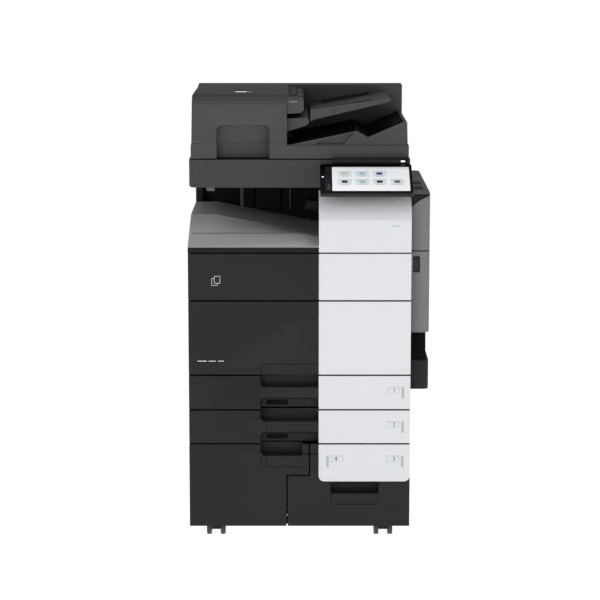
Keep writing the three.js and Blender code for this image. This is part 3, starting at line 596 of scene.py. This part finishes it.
def figure(name: str, text: str, plane: Plane, height: float, dress: Dress) -> bpy.types.Object:
    """A printed numeral on a plane, its middle at the plane's point.

    Args:
        name: the piece's name.
        text: the numeral.
        plane: where it is printed.
        height: its size, in millimetres.
        dress: its finish, body and slot.

    Returns:
        The new piece.
    """
    curve = bpy.data.curves.new(name, "FONT")
    curve.body = text
    curve.size = height
    curve.extrude = PRINT_MM
    curve.offset = PRINT_MM
    curve.align_x = "CENTER"
    curve.align_y = "CENTER"
    holder = bpy.data.objects.new(name + "_type", curve)
    bpy.context.scene.collection.objects.link(holder)
    bpy.context.view_layer.update()
    mesh = bpy.data.meshes.new_from_object(holder)
    bpy.data.objects.remove(holder)
    local = np.zeros(len(mesh.vertices) * 3)
    mesh.vertices.foreach_get("co", local)
    mesh.vertices.foreach_set("co", plane.world(local.reshape(-1, 3)).ravel())
    weld(mesh, PRINT_WELD_M)
    mesh.name = name
    return finish_piece(name, mesh, dress)


# ---------------------------------------------------------------- sub-assemblies


@dataclass
class Shells:
    """The moulded covers that the frame already gives, with rounded edges and their own finishes."""

    edge_mm: float = 0.9
    special: dict[str, Finish] = field(
        default_factory=lambda: {
            "scanner_case": Finish.SCANNER,
            "well_back_wall": Finish.WELL,
            "inner_cover": Finish.TRIM,
        }
    )
    rounded: tuple[str, ...] = (
        "toner_door", "toner_door_insert", "front_door", "front_door_insert",
        "tray_1_front", "tray_1_insert", "tray_2_front", "tray_2_insert",
        "tray_3_insert", "tray_4_front", "column_cover",
        "scanner_case", "feeder_base", "feeder_housing", "feeder_rear_housing",
        "feed_cover", "document_tray", "exhaust_cover", "right_door", "bypass_tray",
        "panel_arm", "panel_housing", "tray_lip",
    )  # fmt: skip

    def build(self) -> None:
        """Dresses every node, and rounds the ones that show."""
        for node, piece in NODES.items():
            finish = self.special.get(node, SLOT_FINISH[SLOT_OF[node]])
            if node in self.rounded:
                moulded(node, finish, self.edge_mm)
                continue
            piece.data.materials.clear()
            piece.data.materials.append(finish.material)
        LOG.info("shells: %d nodes, %d with rounded edges", len(NODES), len(self.rounded))


@dataclass
class TouchPanel:
    """The layers over the screen's glass: lit display, side menu, tiles and the marks on them."""

    left: float = 56.0
    top_y: float = 66.0
    top_z: float = 1054.0
    tilt_deg: float = 25.4
    screen: tuple[float, float, float, float] = (33.0, 244.0, -140.0, -17.0)
    menu_right: float = 33.0

    def plane(self, a: float, b: float, out: float = 0.0) -> Plane:
        """The panel's face: a from its left edge, b up from its top edge, out of the glass."""
        turn = math.radians(self.tilt_deg)
        up = np.array([0.0, math.cos(turn), math.sin(turn)])
        normal = np.array([0.0, -math.sin(turn), math.cos(turn)])
        at = np.array([self.left + a, self.top_y, self.top_z]) + b * up + out * normal
        return Plane(tuple(at), (1.0, 0.0, 0.0), tuple(up))

    def layer(self, name: str, span: tuple[float, float, float, float], out: float, finish: Finish) -> None:
        """One thin layer of the display, given its left, right, bottom and top."""
        left, right, low, high = span
        size = (right - left, high - low, 0.12)
        middle = self.plane((left + right) / 2, (low + high) / 2, out)
        plate(name, middle, size, Dress(finish, "panel", "panel_glass"), 2.0, 0.05)

    def build(self) -> None:
        """Makes the display, seven tiles with a mark each, and the lamps."""
        left, right, low, high = self.screen
        self.layer("display", self.screen, 0.02, Finish.SCREEN)
        self.layer("display_menu", (14.0, self.menu_right - 0.4, low, high), 0.02, Finish.MENU)
        for i in range(3):
            self.layer(f"menu_mark_{i}", (20.0, 27.0, -112 - 9.0 * i, -109 - 9.0 * i), 0.2, Finish.QUIET)
        self.layer("display_header", (left, right, high - 13, high), 0.2, Finish.TILE)
        marks = [Finish.GREEN_MARK, Finish.TEAL_MARK, Finish.BLUE_MARK, None]
        marks += [Finish.DARK_MARK, Finish.TEAL_MARK, Finish.DARK_MARK, Finish.QUIET]
        pitch = (right - left - 20) / 4
        for i, mark in enumerate(marks):
            if mark is None:
                continue
            column, row = i % 4, i // 4
            x = left + 10 + pitch * (column + 0.5)
            z = high - 36 - 42 * row
            self.layer(f"tile_{i}", (x - 19, x + 19, z - 16, z + 16), 0.2, Finish.TILE)
            self.layer(f"tile_mark_{i}", (x - 8, x + 8, z - 4, z + 8), 0.36, mark)
            self.layer(f"tile_line_{i}", (x - 11, x + 11, z - 12, z - 10.5), 0.36, Finish.QUIET)
        home = turned_rings([(2.6, 0.0), (2.6, 0.35), (2.2, 0.5)], SLEEVE_POINTS)
        shell("home_light", home, self.plane(7.5, -68.0), Dress(Finish.LAMP, "panel", "panel_glass"))
        lamp = facing_front(285.0, 66.9, 1061.0)
        plate("status_lamp", lamp, (12, 4, 0.6), Dress(Finish.LAMP, "machine", "panel_glass"), 1.8, 0.2)
        LOG.info("touch panel: display with 7 tiles")


@dataclass
class Fronts:
    """Numbers, paper gauges, grip seams, printed marks, and painted shadow lines and gap shade on the
    drawers and doors.

    The foot of a line or mark lies a little behind the face it stands on.
    """

    foot: float = 0.1
    gap_shade_left: float = -306.0
    grip_left: float = -107.0
    grip_right: float = 53.0
    short_grip_right: float = 8.0
    grip_radius: float = 11.0
    gauges: tuple[tuple[int, float, float], ...] = (
        (1, 286.5, 423.5), (2, 286.5, 325.5), (3, 286.5, 227.5), (4, 78.0, 227.5),
    )  # fmt: skip

    def build(self) -> None:
        """Makes every mark on the fronts."""
        for number, x, z in self.gauges:
            self.gauge(number, x, z)
        for number, low in ((1, 375.0), (2, 278.0)):
            self.grip(number, low + 32, low + 66, self.grip_right)
            self.under_grip(number, low + 32)
        self.grip(4, 212, 246, self.short_grip_right)
        self.short_bar(212, 246)
        self.lower_grip()
        self.gap_shades()
        self.rim_shadows()
        self.marks()
        LOG.info("fronts: %d gauges and 4 grips", len(self.gauges))

    def gauge(self, number: int, x: float, z: float) -> None:
        """A drawer's paper gauge with its window, and its number in a thin frame beside it."""
        body = f"drawer_{3 if number == 4 else number}"
        slot = "white_plastic"
        rim = Dress(Finish.RIM, body, slot)
        window = Dress(Finish.GAUGE, body, slot)
        plate(f"gauge_{number}", facing_front(x, 0.2, z), (8, 34, 0.5), window, 1.2, 0.2)
        for i in range(5):
            bar = facing_front(x, -0.28, z - 12 + 6 * i)
            plate(f"gauge_{number}_step_{i}", bar, (5, 3.6, 0.2), rim, 0.6, 0.05)
        side = 1 if number == 4 else -1
        centre = x + side * 26.5
        middle = facing_front(centre, 0.2, z + 7.5)
        plate(f"number_frame_{number}", middle, (34, 18, 0.35), rim, 2.0, 0.1)
        field_dress = Dress(Finish.WHITE, body, slot)
        plate(f"number_field_{number}", middle, (32.0, 16.0, 0.5), field_dress, 1.6, 0.1)
        digit = facing_front(centre - side * 3, -0.35, z + 7.5)
        figure(f"number_{number}", str(number), digit, 16.0, Dress(Finish.INK, body, slot))

    def line(self, name: str, path: list[tuple[float, float]], width: float, body: str) -> None:
        """A painted shadow line along a path of (x, z) points on the front faces."""
        front = facing_front(0.0, self.foot, 0.0)
        cutout(name, stroke(path, width), front, 0.3, dark(body))

    def grip(self, number: int, low: float, high: float, right: float) -> None:
        """A drawer's grip: the bar's seam, and a painted shadow line along the rim of the pocket above it.
        """
        body = f"drawer_{number}"
        left, radius = self.grip_left, self.grip_radius
        seam = facing_front(left + 15, self.foot, (low + high) / 2)
        plate(f"grip_seam_{number}", seam, (1.8, high - low - 2, 0.25), dark(body), 0.4, 0.05)
        ceiling = high + (30.0 if number < 3 else 28.0)
        over = [(right - 1, high - 1), (left + radius, high - 1)]
        over += corner(left + radius, high + radius, radius + 1, -90, -180)
        self.line(f"grip_over_shadow_{number}", [*over, (left - 1, ceiling)], 3.4, body)

    def under_grip(self, number: int, low: float) -> None:
        """A painted shadow line round the pocket under a grip's bar, and painted shade for the hole in its
        back.
        """
        body = f"drawer_{number}"
        left, right, radius = self.grip_left, self.grip_right, self.grip_radius
        under = [(left - 1, low - 28), (left - 1, low - radius)]
        under += corner(left + radius, low - radius, radius + 1, 180, 90)
        self.line(f"grip_under_shadow_{number}", [*under, (right - 1, low + 1)], 2.6, body)
        hole = facing_front(-62.0, 32.9, low - 17.5)
        plate(f"grip_hole_shade_{number}", hole, (62, 15, 0.3), dark(body), 6.0, 0.1)

    def short_bar(self, low: float, high: float) -> None:
        """The lower left drawer's bar: a painted shadow line along its rounded end and its lower edge."""
        left, radius = self.grip_left, self.grip_radius
        bar = [(left, high - 2), (left, low + radius)]
        bar += corner(left + radius, low + radius, radius, 180, 270)
        self.line("grip_under_shadow_4", [*bar, (25.0, low)], 1.9, "drawer_4")

    def lower_grip(self) -> None:
        """The lower right drawer's bar: a painted shadow line round its rounded outline, and one along its
        top.
        """
        bar = [(87.0, 137.0), (87.0, 117.0), *corner(99.0, 117.0, 12.0, 180, 270)]
        bar += [(208.0, 105.0), *corner(208.0, 117.0, 12.0, 270, 360), (220.0, 137.0)]
        self.line("lower_grip_shadow_line", bar, 2.2, "drawer_3")
        top = facing_front(153.5, self.foot, 135.8)
        plate("lower_grip_top_shadow", top, (132, 2.0, 0.3), dark("drawer_3"), 0.5, 0.05)

    def gap_shades(self) -> None:
        """Painted shade: dark sheets in the gaps between the fronts, and one behind the gap under the split.
        """

        def shade_sheet(name: str, plane: Plane, width: float, height: float, dress: Dress) -> None:
            plate(name, plane, (width, height, 0.25), dress, 0.5, 0.1)

        for name, body, top, right in (
            ("door", "front_lid", 680.0, 52.0),
            ("tray_1", "drawer_1", 471.0, -109.5),
            ("tray_2", "drawer_2", 373.0, -109.5),
            ("tray_4", "drawer_4", 276.0, -109.5),
        ):
            width = right - self.gap_shade_left
            gap = facing_up(self.gap_shade_left + width / 2, 10.2, top + 0.02)
            shade_sheet(f"gap_shade_{name}", gap, width, 18, dark(body))
        for name, body, top in (
            ("door", "front_lid", 680.0),
            ("tray_1", "drawer_1", 471.0),
            ("tray_2", "drawer_2", 373.0),
            ("tray_3", "drawer_3", 276.0),
        ):
            gap = facing_up(180.0, 4.6, top + 0.02)
            shade_sheet(f"insert_gap_shade_{name}", gap, 251, 6.0, dark(body, "white_plastic"))
        shade_sheet("split_gap_shade_top", facing_up(-4.0, 10.2, 186.02), 58, 18, dark("drawer_3"))
        for name, x, z, height in (("upper", 26.02, 233.0, 84.0), ("lower", -36.98, 116.0, 144.0)):
            shade_sheet(f"split_gap_shade_{name}", facing_right(x, 10.2, z), 18, height, dark("drawer_4"))
        shade_behind = facing_front(-35.0, 20.8, 55.0)
        plate("split_shade_behind", shade_behind, (14, 25, 0.3), dark("machine"), 0.5, 0.05)

    def rim_shadows(self) -> None:
        """Painted shadow lines: along the scoop's rim, round the lowest insert and at the short bar's end.
        """
        left = self.grip_left
        scoop = [(left - 0.5, 477.0), (left - 0.5, 493.0)]
        scoop += corner(left + 11, 493.0, 11.5, 180, 90)
        self.line("scoop_rim_shadow", [*scoop, (51.0, 504.5)], 1.9, "front_lid")
        rim = [(51.6, 200.0), (51.6, 186.0), *corner(69.0, 186.0, 17.4, 180, 270)]
        rim += [(291.0, 168.6), *corner(291.0, 186.0, 17.4, 270, 310)]
        self.line("insert_rim_shadow", rim, 1.6, "drawer_3")
        self.line("bar_end_shadow", [(31.0, 212.0), (51.0, 212.0)], 1.9, "drawer_3")

    def marks(self) -> None:
        """A plain two-sheet pictogram and short printed dashes, in place of any lettering."""
        slot = "black_plastic"
        sheet = Dress(Finish.PALE_INK, "toner_lid", slot)
        inside = Dress(Finish.BLACK, "toner_lid", slot)
        for i, (x, z) in enumerate(((-234.0, 735.0), (-227.0, 741.0))):
            plate(f"sheet_mark_{i}", facing_front(x, 0.1 - 0.15 * i, z), (17, 21, 0.2), sheet, 2, 0.05)
            centre = facing_front(x, 0.03 - 0.15 * i, z)
            plate(f"sheet_field_{i}", centre, (14.5, 18.5, 0.2), inside, 1, 0.05)
        ink = Dress(Finish.PALE_INK, "front_lid", slot)
        for i, (x, width) in enumerate(((-270.0, 26.0), (-242.0, 20.0), (-218.0, 16.0))):
            plate(f"dash_{i}", facing_front(x, self.foot, 513.0), (width, 2.2, 0.2), ink, 0.6, 0.05)
        blue = Dress(Finish.BLUE_INK, "machine", "white_plastic")
        plate("column_dash", facing_front(264.0, self.foot, 890.0), (24, 2.0, 0.2), blue, 0.6, 0.05)


@dataclass
class Feeder:
    """Details of the document feeder: indicator, rollers, rib work, size marks and the tray's ribs."""

    slot: str = "feeder_plastic"
    tray_slope: float = math.atan(0.175)
    ramp_slope: float = math.atan(40 / 192)

    def build(self) -> None:
        """Makes the feeder's visible details."""
        self.top_cover()
        under = Plane((0.0, 310.0, 1067.95), (1.0, 0.0, 0.0), (0.0, -1.0, 0.0))
        pad = Dress(Finish.WHITE, "feeder", "white_plastic")
        plate("platen_pad", under, (476, 332, 2.3), pad, 3.0, 0.8)
        self.tray()
        self.ramp()
        self.rollers()
        LOG.info("feeder: top cover, tray and rollers")

    def top_cover(self) -> None:
        """The indicator window with its lamp, and the toothed edge, ribs and dots over the entry."""
        window, lamp, cover, rib, dot = (
            Dress(finish, "feed_lid", self.slot)
            for finish in (Finish.PANEL, Finish.LAMP, Finish.FEEDER, Finish.SCANNER, Finish.PALE_INK)
        )
        plate("original_indicator", facing_up(-160, 200, 1242.75), (52, 46, 0.29), window, 2.0, 0.1)
        plate("original_lamp", facing_up(-164, 200, 1242.86), (30, 16, 0.2), lamp, 1.2, 0.05)
        for i in range(9):
            tooth = facing_up(-20 + 6.0 * (i % 2), 150 + 38 * i, 1236.6)
            plate(f"entry_tooth_{i}", tooth, (20, 24, 3.0), cover, 3.0, 1.0)
        for i, y in enumerate((140, 300, 450)):
            plate(f"entry_rib_{i}", facing_up(2, y, 1232), (16, 7, 4.0), rib, 2.0, 1.0)
        for i in range(5):
            hole = facing_front(-27.0 + 4.6 * i, 107.9, 1222.0)
            plate(f"entry_dot_{i}", hole, (2.2, 2.2, 0.2), dot, 1.0, 0.05)

    def tray(self) -> None:
        """Long ribs on the document tray and size marks along its front edge."""
        plastic = Dress(Finish.FEEDER, "document_rest", self.slot)
        ink = Dress(Finish.PALE_INK, "document_rest", self.slot)
        for i, y in enumerate(np.linspace(165, 440, 8)):
            rib = facing_up(142, float(y), 1206.4, self.tray_slope)
            plate(f"tray_rib_{i}", rib, (200, 3.0, 0.45), plastic, 1.4, 0.2)
        for i in range(4):
            mark = facing_up(70 + 34 * i, 138, 1194.2 + 5.95 * i, self.tray_slope)
            plate(f"size_mark_{i}", mark, (1.4, 9, 0.25), ink, 0.6, 0.05)

    def ramp(self) -> None:
        """The exit ramp's faces, step and stop, in dark plastic with painted shade; and the ramp's ribs."""
        black = Dress(Finish.BLACK, "feeder", self.slot)
        for name, x, z, length, rise in (
            ("entry", 64.0, 1122.2, 188.0, self.ramp_slope),
            ("step", 174.0, 1133.0, 33.0, -math.atan(18 / 30)),
            ("stop", 239.0, 1145.5, 106.0, math.atan(43 / 100)),
        ):
            # Near-black plates: the ramp's dark plastic with painted shade from the document tray above.
            face = facing_up(x, 297.0, z + 0.1, rise)
            plate(f"ramp_{name}", face, (length, 380, 0.4), dark("feeder", self.slot), 1.0, 0.2)
        for i, y in enumerate(np.linspace(150, 450, 7)):
            rib = facing_up(76, float(y), 1124.6, self.ramp_slope)
            plate(f"ramp_rib_{i}", rib, (150, 4.0, 1.2), black, 1.8, 0.6)

    def rollers(self) -> None:
        """Delivery rollers under the throat: turned sleeves on a shaft along the feeder's depth."""
        sleeve = [(3.0, 0.0), (5.5, 0.4), (5.5, 19.6), (3.0, 20.0)]
        for i in range(5):
            axle = Plane((-27.0, 165.0 + 66 * i, 1124.0), (0.0, 0.0, 1.0), (1.0, 0.0, 0.0))
            dress = Dress(Finish.TRIM, "feeder", "tyre")
            shell(f"delivery_roller_{i}", turned_rings(sleeve, SLEEVE_POINTS), axle, dress)


@dataclass
class OutputWell:
    """The well's insides: painted shade on the lip and behind the grille, exit rollers, posts and the tab
    under the scanner.
    """

    lip_slope: float = math.atan(24 / 81)
    back: float = 499.9
    grille_pitch: float = 7.6

    def build(self) -> None:
        """Makes the well's details."""
        shadow = Dress(Finish.LIP_SHADE, "machine", "tray_grey")
        bin_grey = Dress(Finish.BIN, "machine", "bin_grey")
        bars = Dress(Finish.SCANNER, "machine", "black_plastic")
        up_the_lip = (0.0, math.cos(self.lip_slope), math.sin(self.lip_slope))
        # Painted shade in a darker grey: a line along the lip's crease and a band over its skirt.
        crease = Plane((-140.0, 81.0, 859.05), (1.0, 0.0, 0.0), up_the_lip)
        plate("lip_crease_shade", crease, (318, 6.0, 0.2), shadow, 1.0, 0.05)
        plate("lip_skirt_shade", facing_front(-127.0, 0.05, 832.6), (358, 4.4, 0.2), shadow, 0.5, 0.05)
        sleeve = [(2.5, 0.0), (6.0, 0.5), (6.0, 23.5), (2.5, 24.0)]
        for i in range(4):
            axle = Plane((62.0, 170.0 + 74 * i, 912.0), (0.0, 0.0, 1.0), (1.0, 0.0, 0.0))
            dress = Dress(Finish.TREAD, "machine", "tyre")
            shell(f"exit_roller_{i}", turned_rings(sleeve, SLEEVE_POINTS), axle, dress)
        plate("scanner_tab", facing_front(-249, 150, 977), (23, 14, 8), bin_grey, 2.0, 0.8)
        plate("well_post", facing_front(-171, self.back, 915), (9, 66, 5), bin_grey, 1.5, 0.8)
        # Painted shade behind the grille's bars and posts.
        plate("grille_shade", facing_front(-93, self.back, 909), (82, 72, 0.8), dark("machine"), 3.0, 0.4)
        for i in range(9):
            across = facing_front(-93, 499.0, 879 + self.grille_pitch * i)
            plate(f"grille_bar_{i}", across, (72, 1.8, 1.2), bars, 0.7, 0.4)
            upright = facing_front(-124 + self.grille_pitch * i, 498.6, 909)
            plate(f"grille_post_{i}", upright, (1.8, 66, 1.2), bars, 0.7, 0.4)
        plate("well_rib", facing_front(-28, self.back, 925), (4, 96, 5), bin_grey, 1.0, 0.8)
        LOG.info("output well: ribs, rollers and grille")


@dataclass
class SideUnit:
    """The right side: painted vent shade, a triangle mark, the exhaust's painted shadow, the latch and the
    bypass tray's ribs.
    """

    top: float = 975.0
    vent_z: float = 971.0
    scoop_left: float = 308.4
    scoop_top: float = 973.5

    def build(self) -> None:
        """Makes the side unit's details."""
        lever = Dress(Finish.SCANNER, "side_door", "side_grey")
        plate("latch_lever", facing_front(323.5, 60, 778), (15, 30, 5), lever, 3.0, 1.2)
        triangle = turned_rings([(5.2, 0.0), (5.2, 0.2), (4.9, 0.3)], 3)
        mark = Dress(Finish.PALE_INK, "machine", "side_grey")
        shell("side_mark", triangle, facing_up(334, 95, self.top - 0.1), mark)
        for row, y in enumerate((172.0, 307.0)):
            for i in range(5):
                vent = facing_up(319.5 + 6 * i, y, self.vent_z)
                plate(f"vent_shade_{row}_{i}", vent, (2.8, 82, 0.3), dark("machine", "side_grey"), 1.0, 0.1)
        self.scoop()
        rib = Dress(Finish.SIDE, "bypass", "side_grey")
        for i, y in enumerate((180, 250, 410, 480)):
            plate(f"bypass_rib_{i}", facing_right(359.7, y, 700), (3, 160, 0.6), rib, 1.2, 0.3)
        plate("neck_shade", facing_front(330, 58.05, 544), (43, 74, 0.4), dark("machine"), 6.0, 0.2)
        plate("neck_block", facing_front(317, 58.0, 606), (17, 46, 0.4), dark("machine"), 3.0, 0.2)
        seam = Dress(Finish.SCANNER, "bypass", "side_grey")
        plate("bypass_seam", facing_right(359.8, 330, 770), (360, 1.0, 0.3), seam, 0.4, 0.1)
        LOG.info("side unit: vents, latch and bypass ribs")

    def scoop(self) -> None:
        """The exhaust's painted shadow: an arch that rises to the right as 40 t to the power 0.55."""
        left = self.scoop_left
        arch = [(left, self.scoop_top), (left, 928.0)]
        arch += [(left + 50 * t, 928.0 + 40 * t**0.55) for t in (0.08, 0.2, 0.4, 0.6, 0.8, 1.0)]
        outline = np.array([*arch, (358.4, self.scoop_top)])
        # Painted shadow, in the well's black, on the concave front top of the exhaust cover.
        face = facing_front(0, 45.02, 0)
        cutout("exhaust_scoop_shadow", outline, face, 0.3, Dress(Finish.WELL, "machine", "side_grey"))


@dataclass
class Casters:
    """Twin-wheel casters: turned treads with a crowned rim, in place of the plain wheels."""

    radius: float = 25.0
    width: float = 13.0
    track: float = 39.0
    places: tuple[tuple[str, float, float], ...] = (
        ("front_left", -236.0, 70.0),
        ("front_right", 236.0, 70.0),
        ("rear_left", -236.0, 618.0),
        ("rear_right", 236.0, 618.0),
    )

    def profile(self) -> list[tuple[float, float]]:
        """One shaft with a wheel at each end.

        Each wheel's rim is the radius less 1.6 (2 t)^4, where t runs from -0.5 to 0.5 across the wheel.
        """
        half = self.track / 2
        across = np.linspace(-0.5, 0.5, 9)
        crown = self.radius - 1.6 * (2 * across) ** 2 * (2 * across) ** 2
        wheel = [(15.0, -self.width / 2 + 1.4), (16.5, -self.width / 2), *zip(crown, across * self.width)]
        wheel += [(16.5, self.width / 2), (15.0, self.width / 2 - 1.4)]
        left = [(radius, along - half) for radius, along in wheel]
        right = [(radius, along + half) for radius, along in wheel]
        cap = [(5.0, -half - self.width / 2 + 1.4)]
        hub = [(4.0, -half + self.width / 2 - 1.2), (4.0, half - self.width / 2 + 1.2)]
        return [*cap, *left, *hub, *right, (5.0, half + self.width / 2 - 1.4)]

    def build(self) -> None:
        """Makes the four pairs of wheels."""
        for place, x, y in self.places:
            axle = Plane((x, y, self.radius), (0.0, 1.0, 0.0), (0.0, 0.0, 1.0))
            dress = Dress(Finish.TREAD, f"wheels_{place}", "tyre")
            rings = turned_rings(self.profile(), WHEEL_POINTS)
            piece = shell(f"twin_wheels_{place}", rings, axle, dress)
            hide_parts(f"caster_wheels_{place}")
        LOG.info("casters: %d pairs of wheels", len(self.places))


@dataclass
class Back:
    """The rear cover's fittings: screws, the inlet's pins and a blank rating plate."""

    y: float = 688.0

    def build(self) -> None:
        """Makes the rear fittings."""
        steel = Dress(Finish.SCREW, "machine", "frame_steel")
        screw = turned_rings([(4.2, -0.9), (4.2, -0.35), (3.4, -0.05)], SCREW_POINTS)
        spots = [(x, z) for x in (-292, 292) for z in (95, 330, 560, 790, 965)]
        for i, (x, z) in enumerate(spots):
            shell(f"rear_screw_{i}", screw, facing_back(x, self.y + 0.04, z), steel)
        for i, (x, z) in enumerate(((-229.5, 129), (-215.5, 129), (-222.5, 136))):
            plate(f"inlet_pin_{i}", facing_back(x, self.y - 19.9, z), (2, 5, 14), steel, 0.5, 0.3)
        rating = Dress(Finish.GAUGE, "machine", "white_plastic")
        plate("blank_rating_plate", facing_back(-150, self.y - 0.3, 150), (70, 38, 0.28), rating, 2, 0.1)
        LOG.info("back: %d screws", len(spots))


@dataclass
class Inside:
    """What the open doors and drawers show: release levers, the toner grip's mark and the paper guides."""

    fence_x: float = -160.0
    bins: tuple[tuple[int, float], ...] = ((1, 391.0), (2, 294.0))

    def build(self) -> None:
        """Makes the inside details."""
        lever = Dress(Finish.LEVER, "machine", "bin_grey")
        plate("drum_lever", facing_front(66, 39.9, 575), (64, 22, 9), lever, 6, 2)
        plate("fuser_lever", facing_front(200, 35.9, 760), (46, 16, 7), lever, 5, 2)
        mark = Dress(Finish.PALE_INK, "toner", "toner_plastic")
        plate("toner_grip_mark", facing_front(-120, 25.9, 748), (50, 4, 0.5), mark, 1.5, 0.2)
        for number, z in self.bins:
            guide = Dress(Finish.LEVER, f"drawer_{number}", "bin_grey")
            for side, y in (("front", 62), ("rear", 428)):
                fence = facing_front(self.fence_x, y, z + 22)
                plate(f"paper_fence_{number}_{side}", fence, (90, 40, 4), guide, 4, 1)
        LOG.info("inside: levers and paper fences")


@dataclass
class Studio:
    """The floor, the lights and the camera.

    The eye is in machine millimetres; the lights' places, their aim and sizes are in metres.
    """

    eye: tuple[float, float, float] = (1.2, -5839.0, 1668.0)
    pitch_deg: float = 9.56
    lens: float = 128.94
    room_level: float = 0.24
    backdrop_level: float = 1.4
    floor_half_m: float = 40.0
    floor_glow: float = 0.80
    aim: tuple[float, float, float] = (0.0, 0.0, 0.75)
    lamps: tuple[tuple[str, tuple[float, float, float], float, float], ...] = (
        ("key", (-1.6, -4.8, 1.8), 2.4, 76.0),
        ("fill", (2.2, -4.0, 0.9), 2.0, 44.0),
        ("top", (0.0, -0.6, 3.6), 2.4, 12.0),
    )

    def build(self) -> None:
        """Makes the stage."""
        self.camera()
        self.floor()
        self.room()
        self.lights()
        LOG.info("studio: camera, floor and lights")

    def camera(self) -> None:
        """A long lens a little above the machine, looking down at it."""
        data = bpy.data.cameras.new("camera")
        data.lens = self.lens
        data.sensor_width = 36.0
        data.clip_end = 100.0
        camera = bpy.data.objects.new("camera", data)
        camera.location = Vector(ORIGIN + MM * np.array(self.eye))
        camera.rotation_euler = (math.radians(90 - self.pitch_deg), 0, 0)
        bpy.context.scene.collection.objects.link(camera)
        bpy.context.scene.camera = camera

    def floor(self) -> None:
        """A wide pale floor with a glow of its own, so that it stays white all round the machine."""
        mesh = bpy.data.meshes.new("floor")
        half = self.floor_half_m
        corners = [(-half, -half, 0), (half, -half, 0), (half, half, 0), (-half, half, 0)]
        mesh.from_pydata(corners, [], [(0, 1, 2, 3)])
        material, tree, shader, place = blank_material("pale_floor")
        cloud = noise(tree, place, scale=0.6, detail=2.0)
        tint = blend(tree, linear("f4f4f4"), linear("f8f8f8"), cloud)
        tree.links.new(tint, shader.inputs["Base Color"])
        shader.inputs["Roughness"].default_value = 0.9
        shader.inputs["Emission Color"].default_value = linear("ffffff")
        shader.inputs["Emission Strength"].default_value = self.floor_glow
        mesh.materials.append(material)
        floor = bpy.data.objects.new("floor", mesh)
        bpy.context.scene.collection.objects.link(floor)

    def room(self) -> None:
        """A dim even room for the light, which the camera sees as a white backdrop."""
        world = bpy.data.worlds.new("room")
        world.use_nodes = True
        tree = world.node_tree
        seen = add_node(tree, "LightPath").outputs["Is Camera Ray"]
        level = remap(tree, seen, (0.0, 1.0), (self.room_level, self.backdrop_level))
        tree.nodes["Background"].inputs[0].default_value = (1.0, 1.0, 1.0, 1.0)
        tree.links.new(level, tree.nodes["Background"].inputs[1])
        bpy.context.scene.world = world
        bpy.context.scene.view_settings.view_transform = "Standard"

    def lights(self) -> None:
        """A soft key from the front left, a weaker fill from the front right and a faint top light."""
        for name, place, size, power in self.lamps:
            data = bpy.data.lights.new(name, "AREA")
            data.size = size
            data.energy = power
            light = bpy.data.objects.new(name, data)
            light.location = place
            toward = Vector(self.aim) - Vector(place)
            light.rotation_euler = toward.to_track_quat("-Z", "Y").to_euler()
            light.visible_glossy = False
            bpy.context.scene.collection.objects.link(light)


def main() -> None:
    """Builds the studio and every sub-assembly."""
    logging.basicConfig(level=logging.INFO, format="%(message)s")
    for part in (
        Studio(), Shells(), TouchPanel(), Fronts(), Feeder(), OutputWell(), SideUnit(), Casters(),
        Back(), Inside(),
    ):  # fmt: skip
        part.build()


if __name__ == "__main__":
    main()
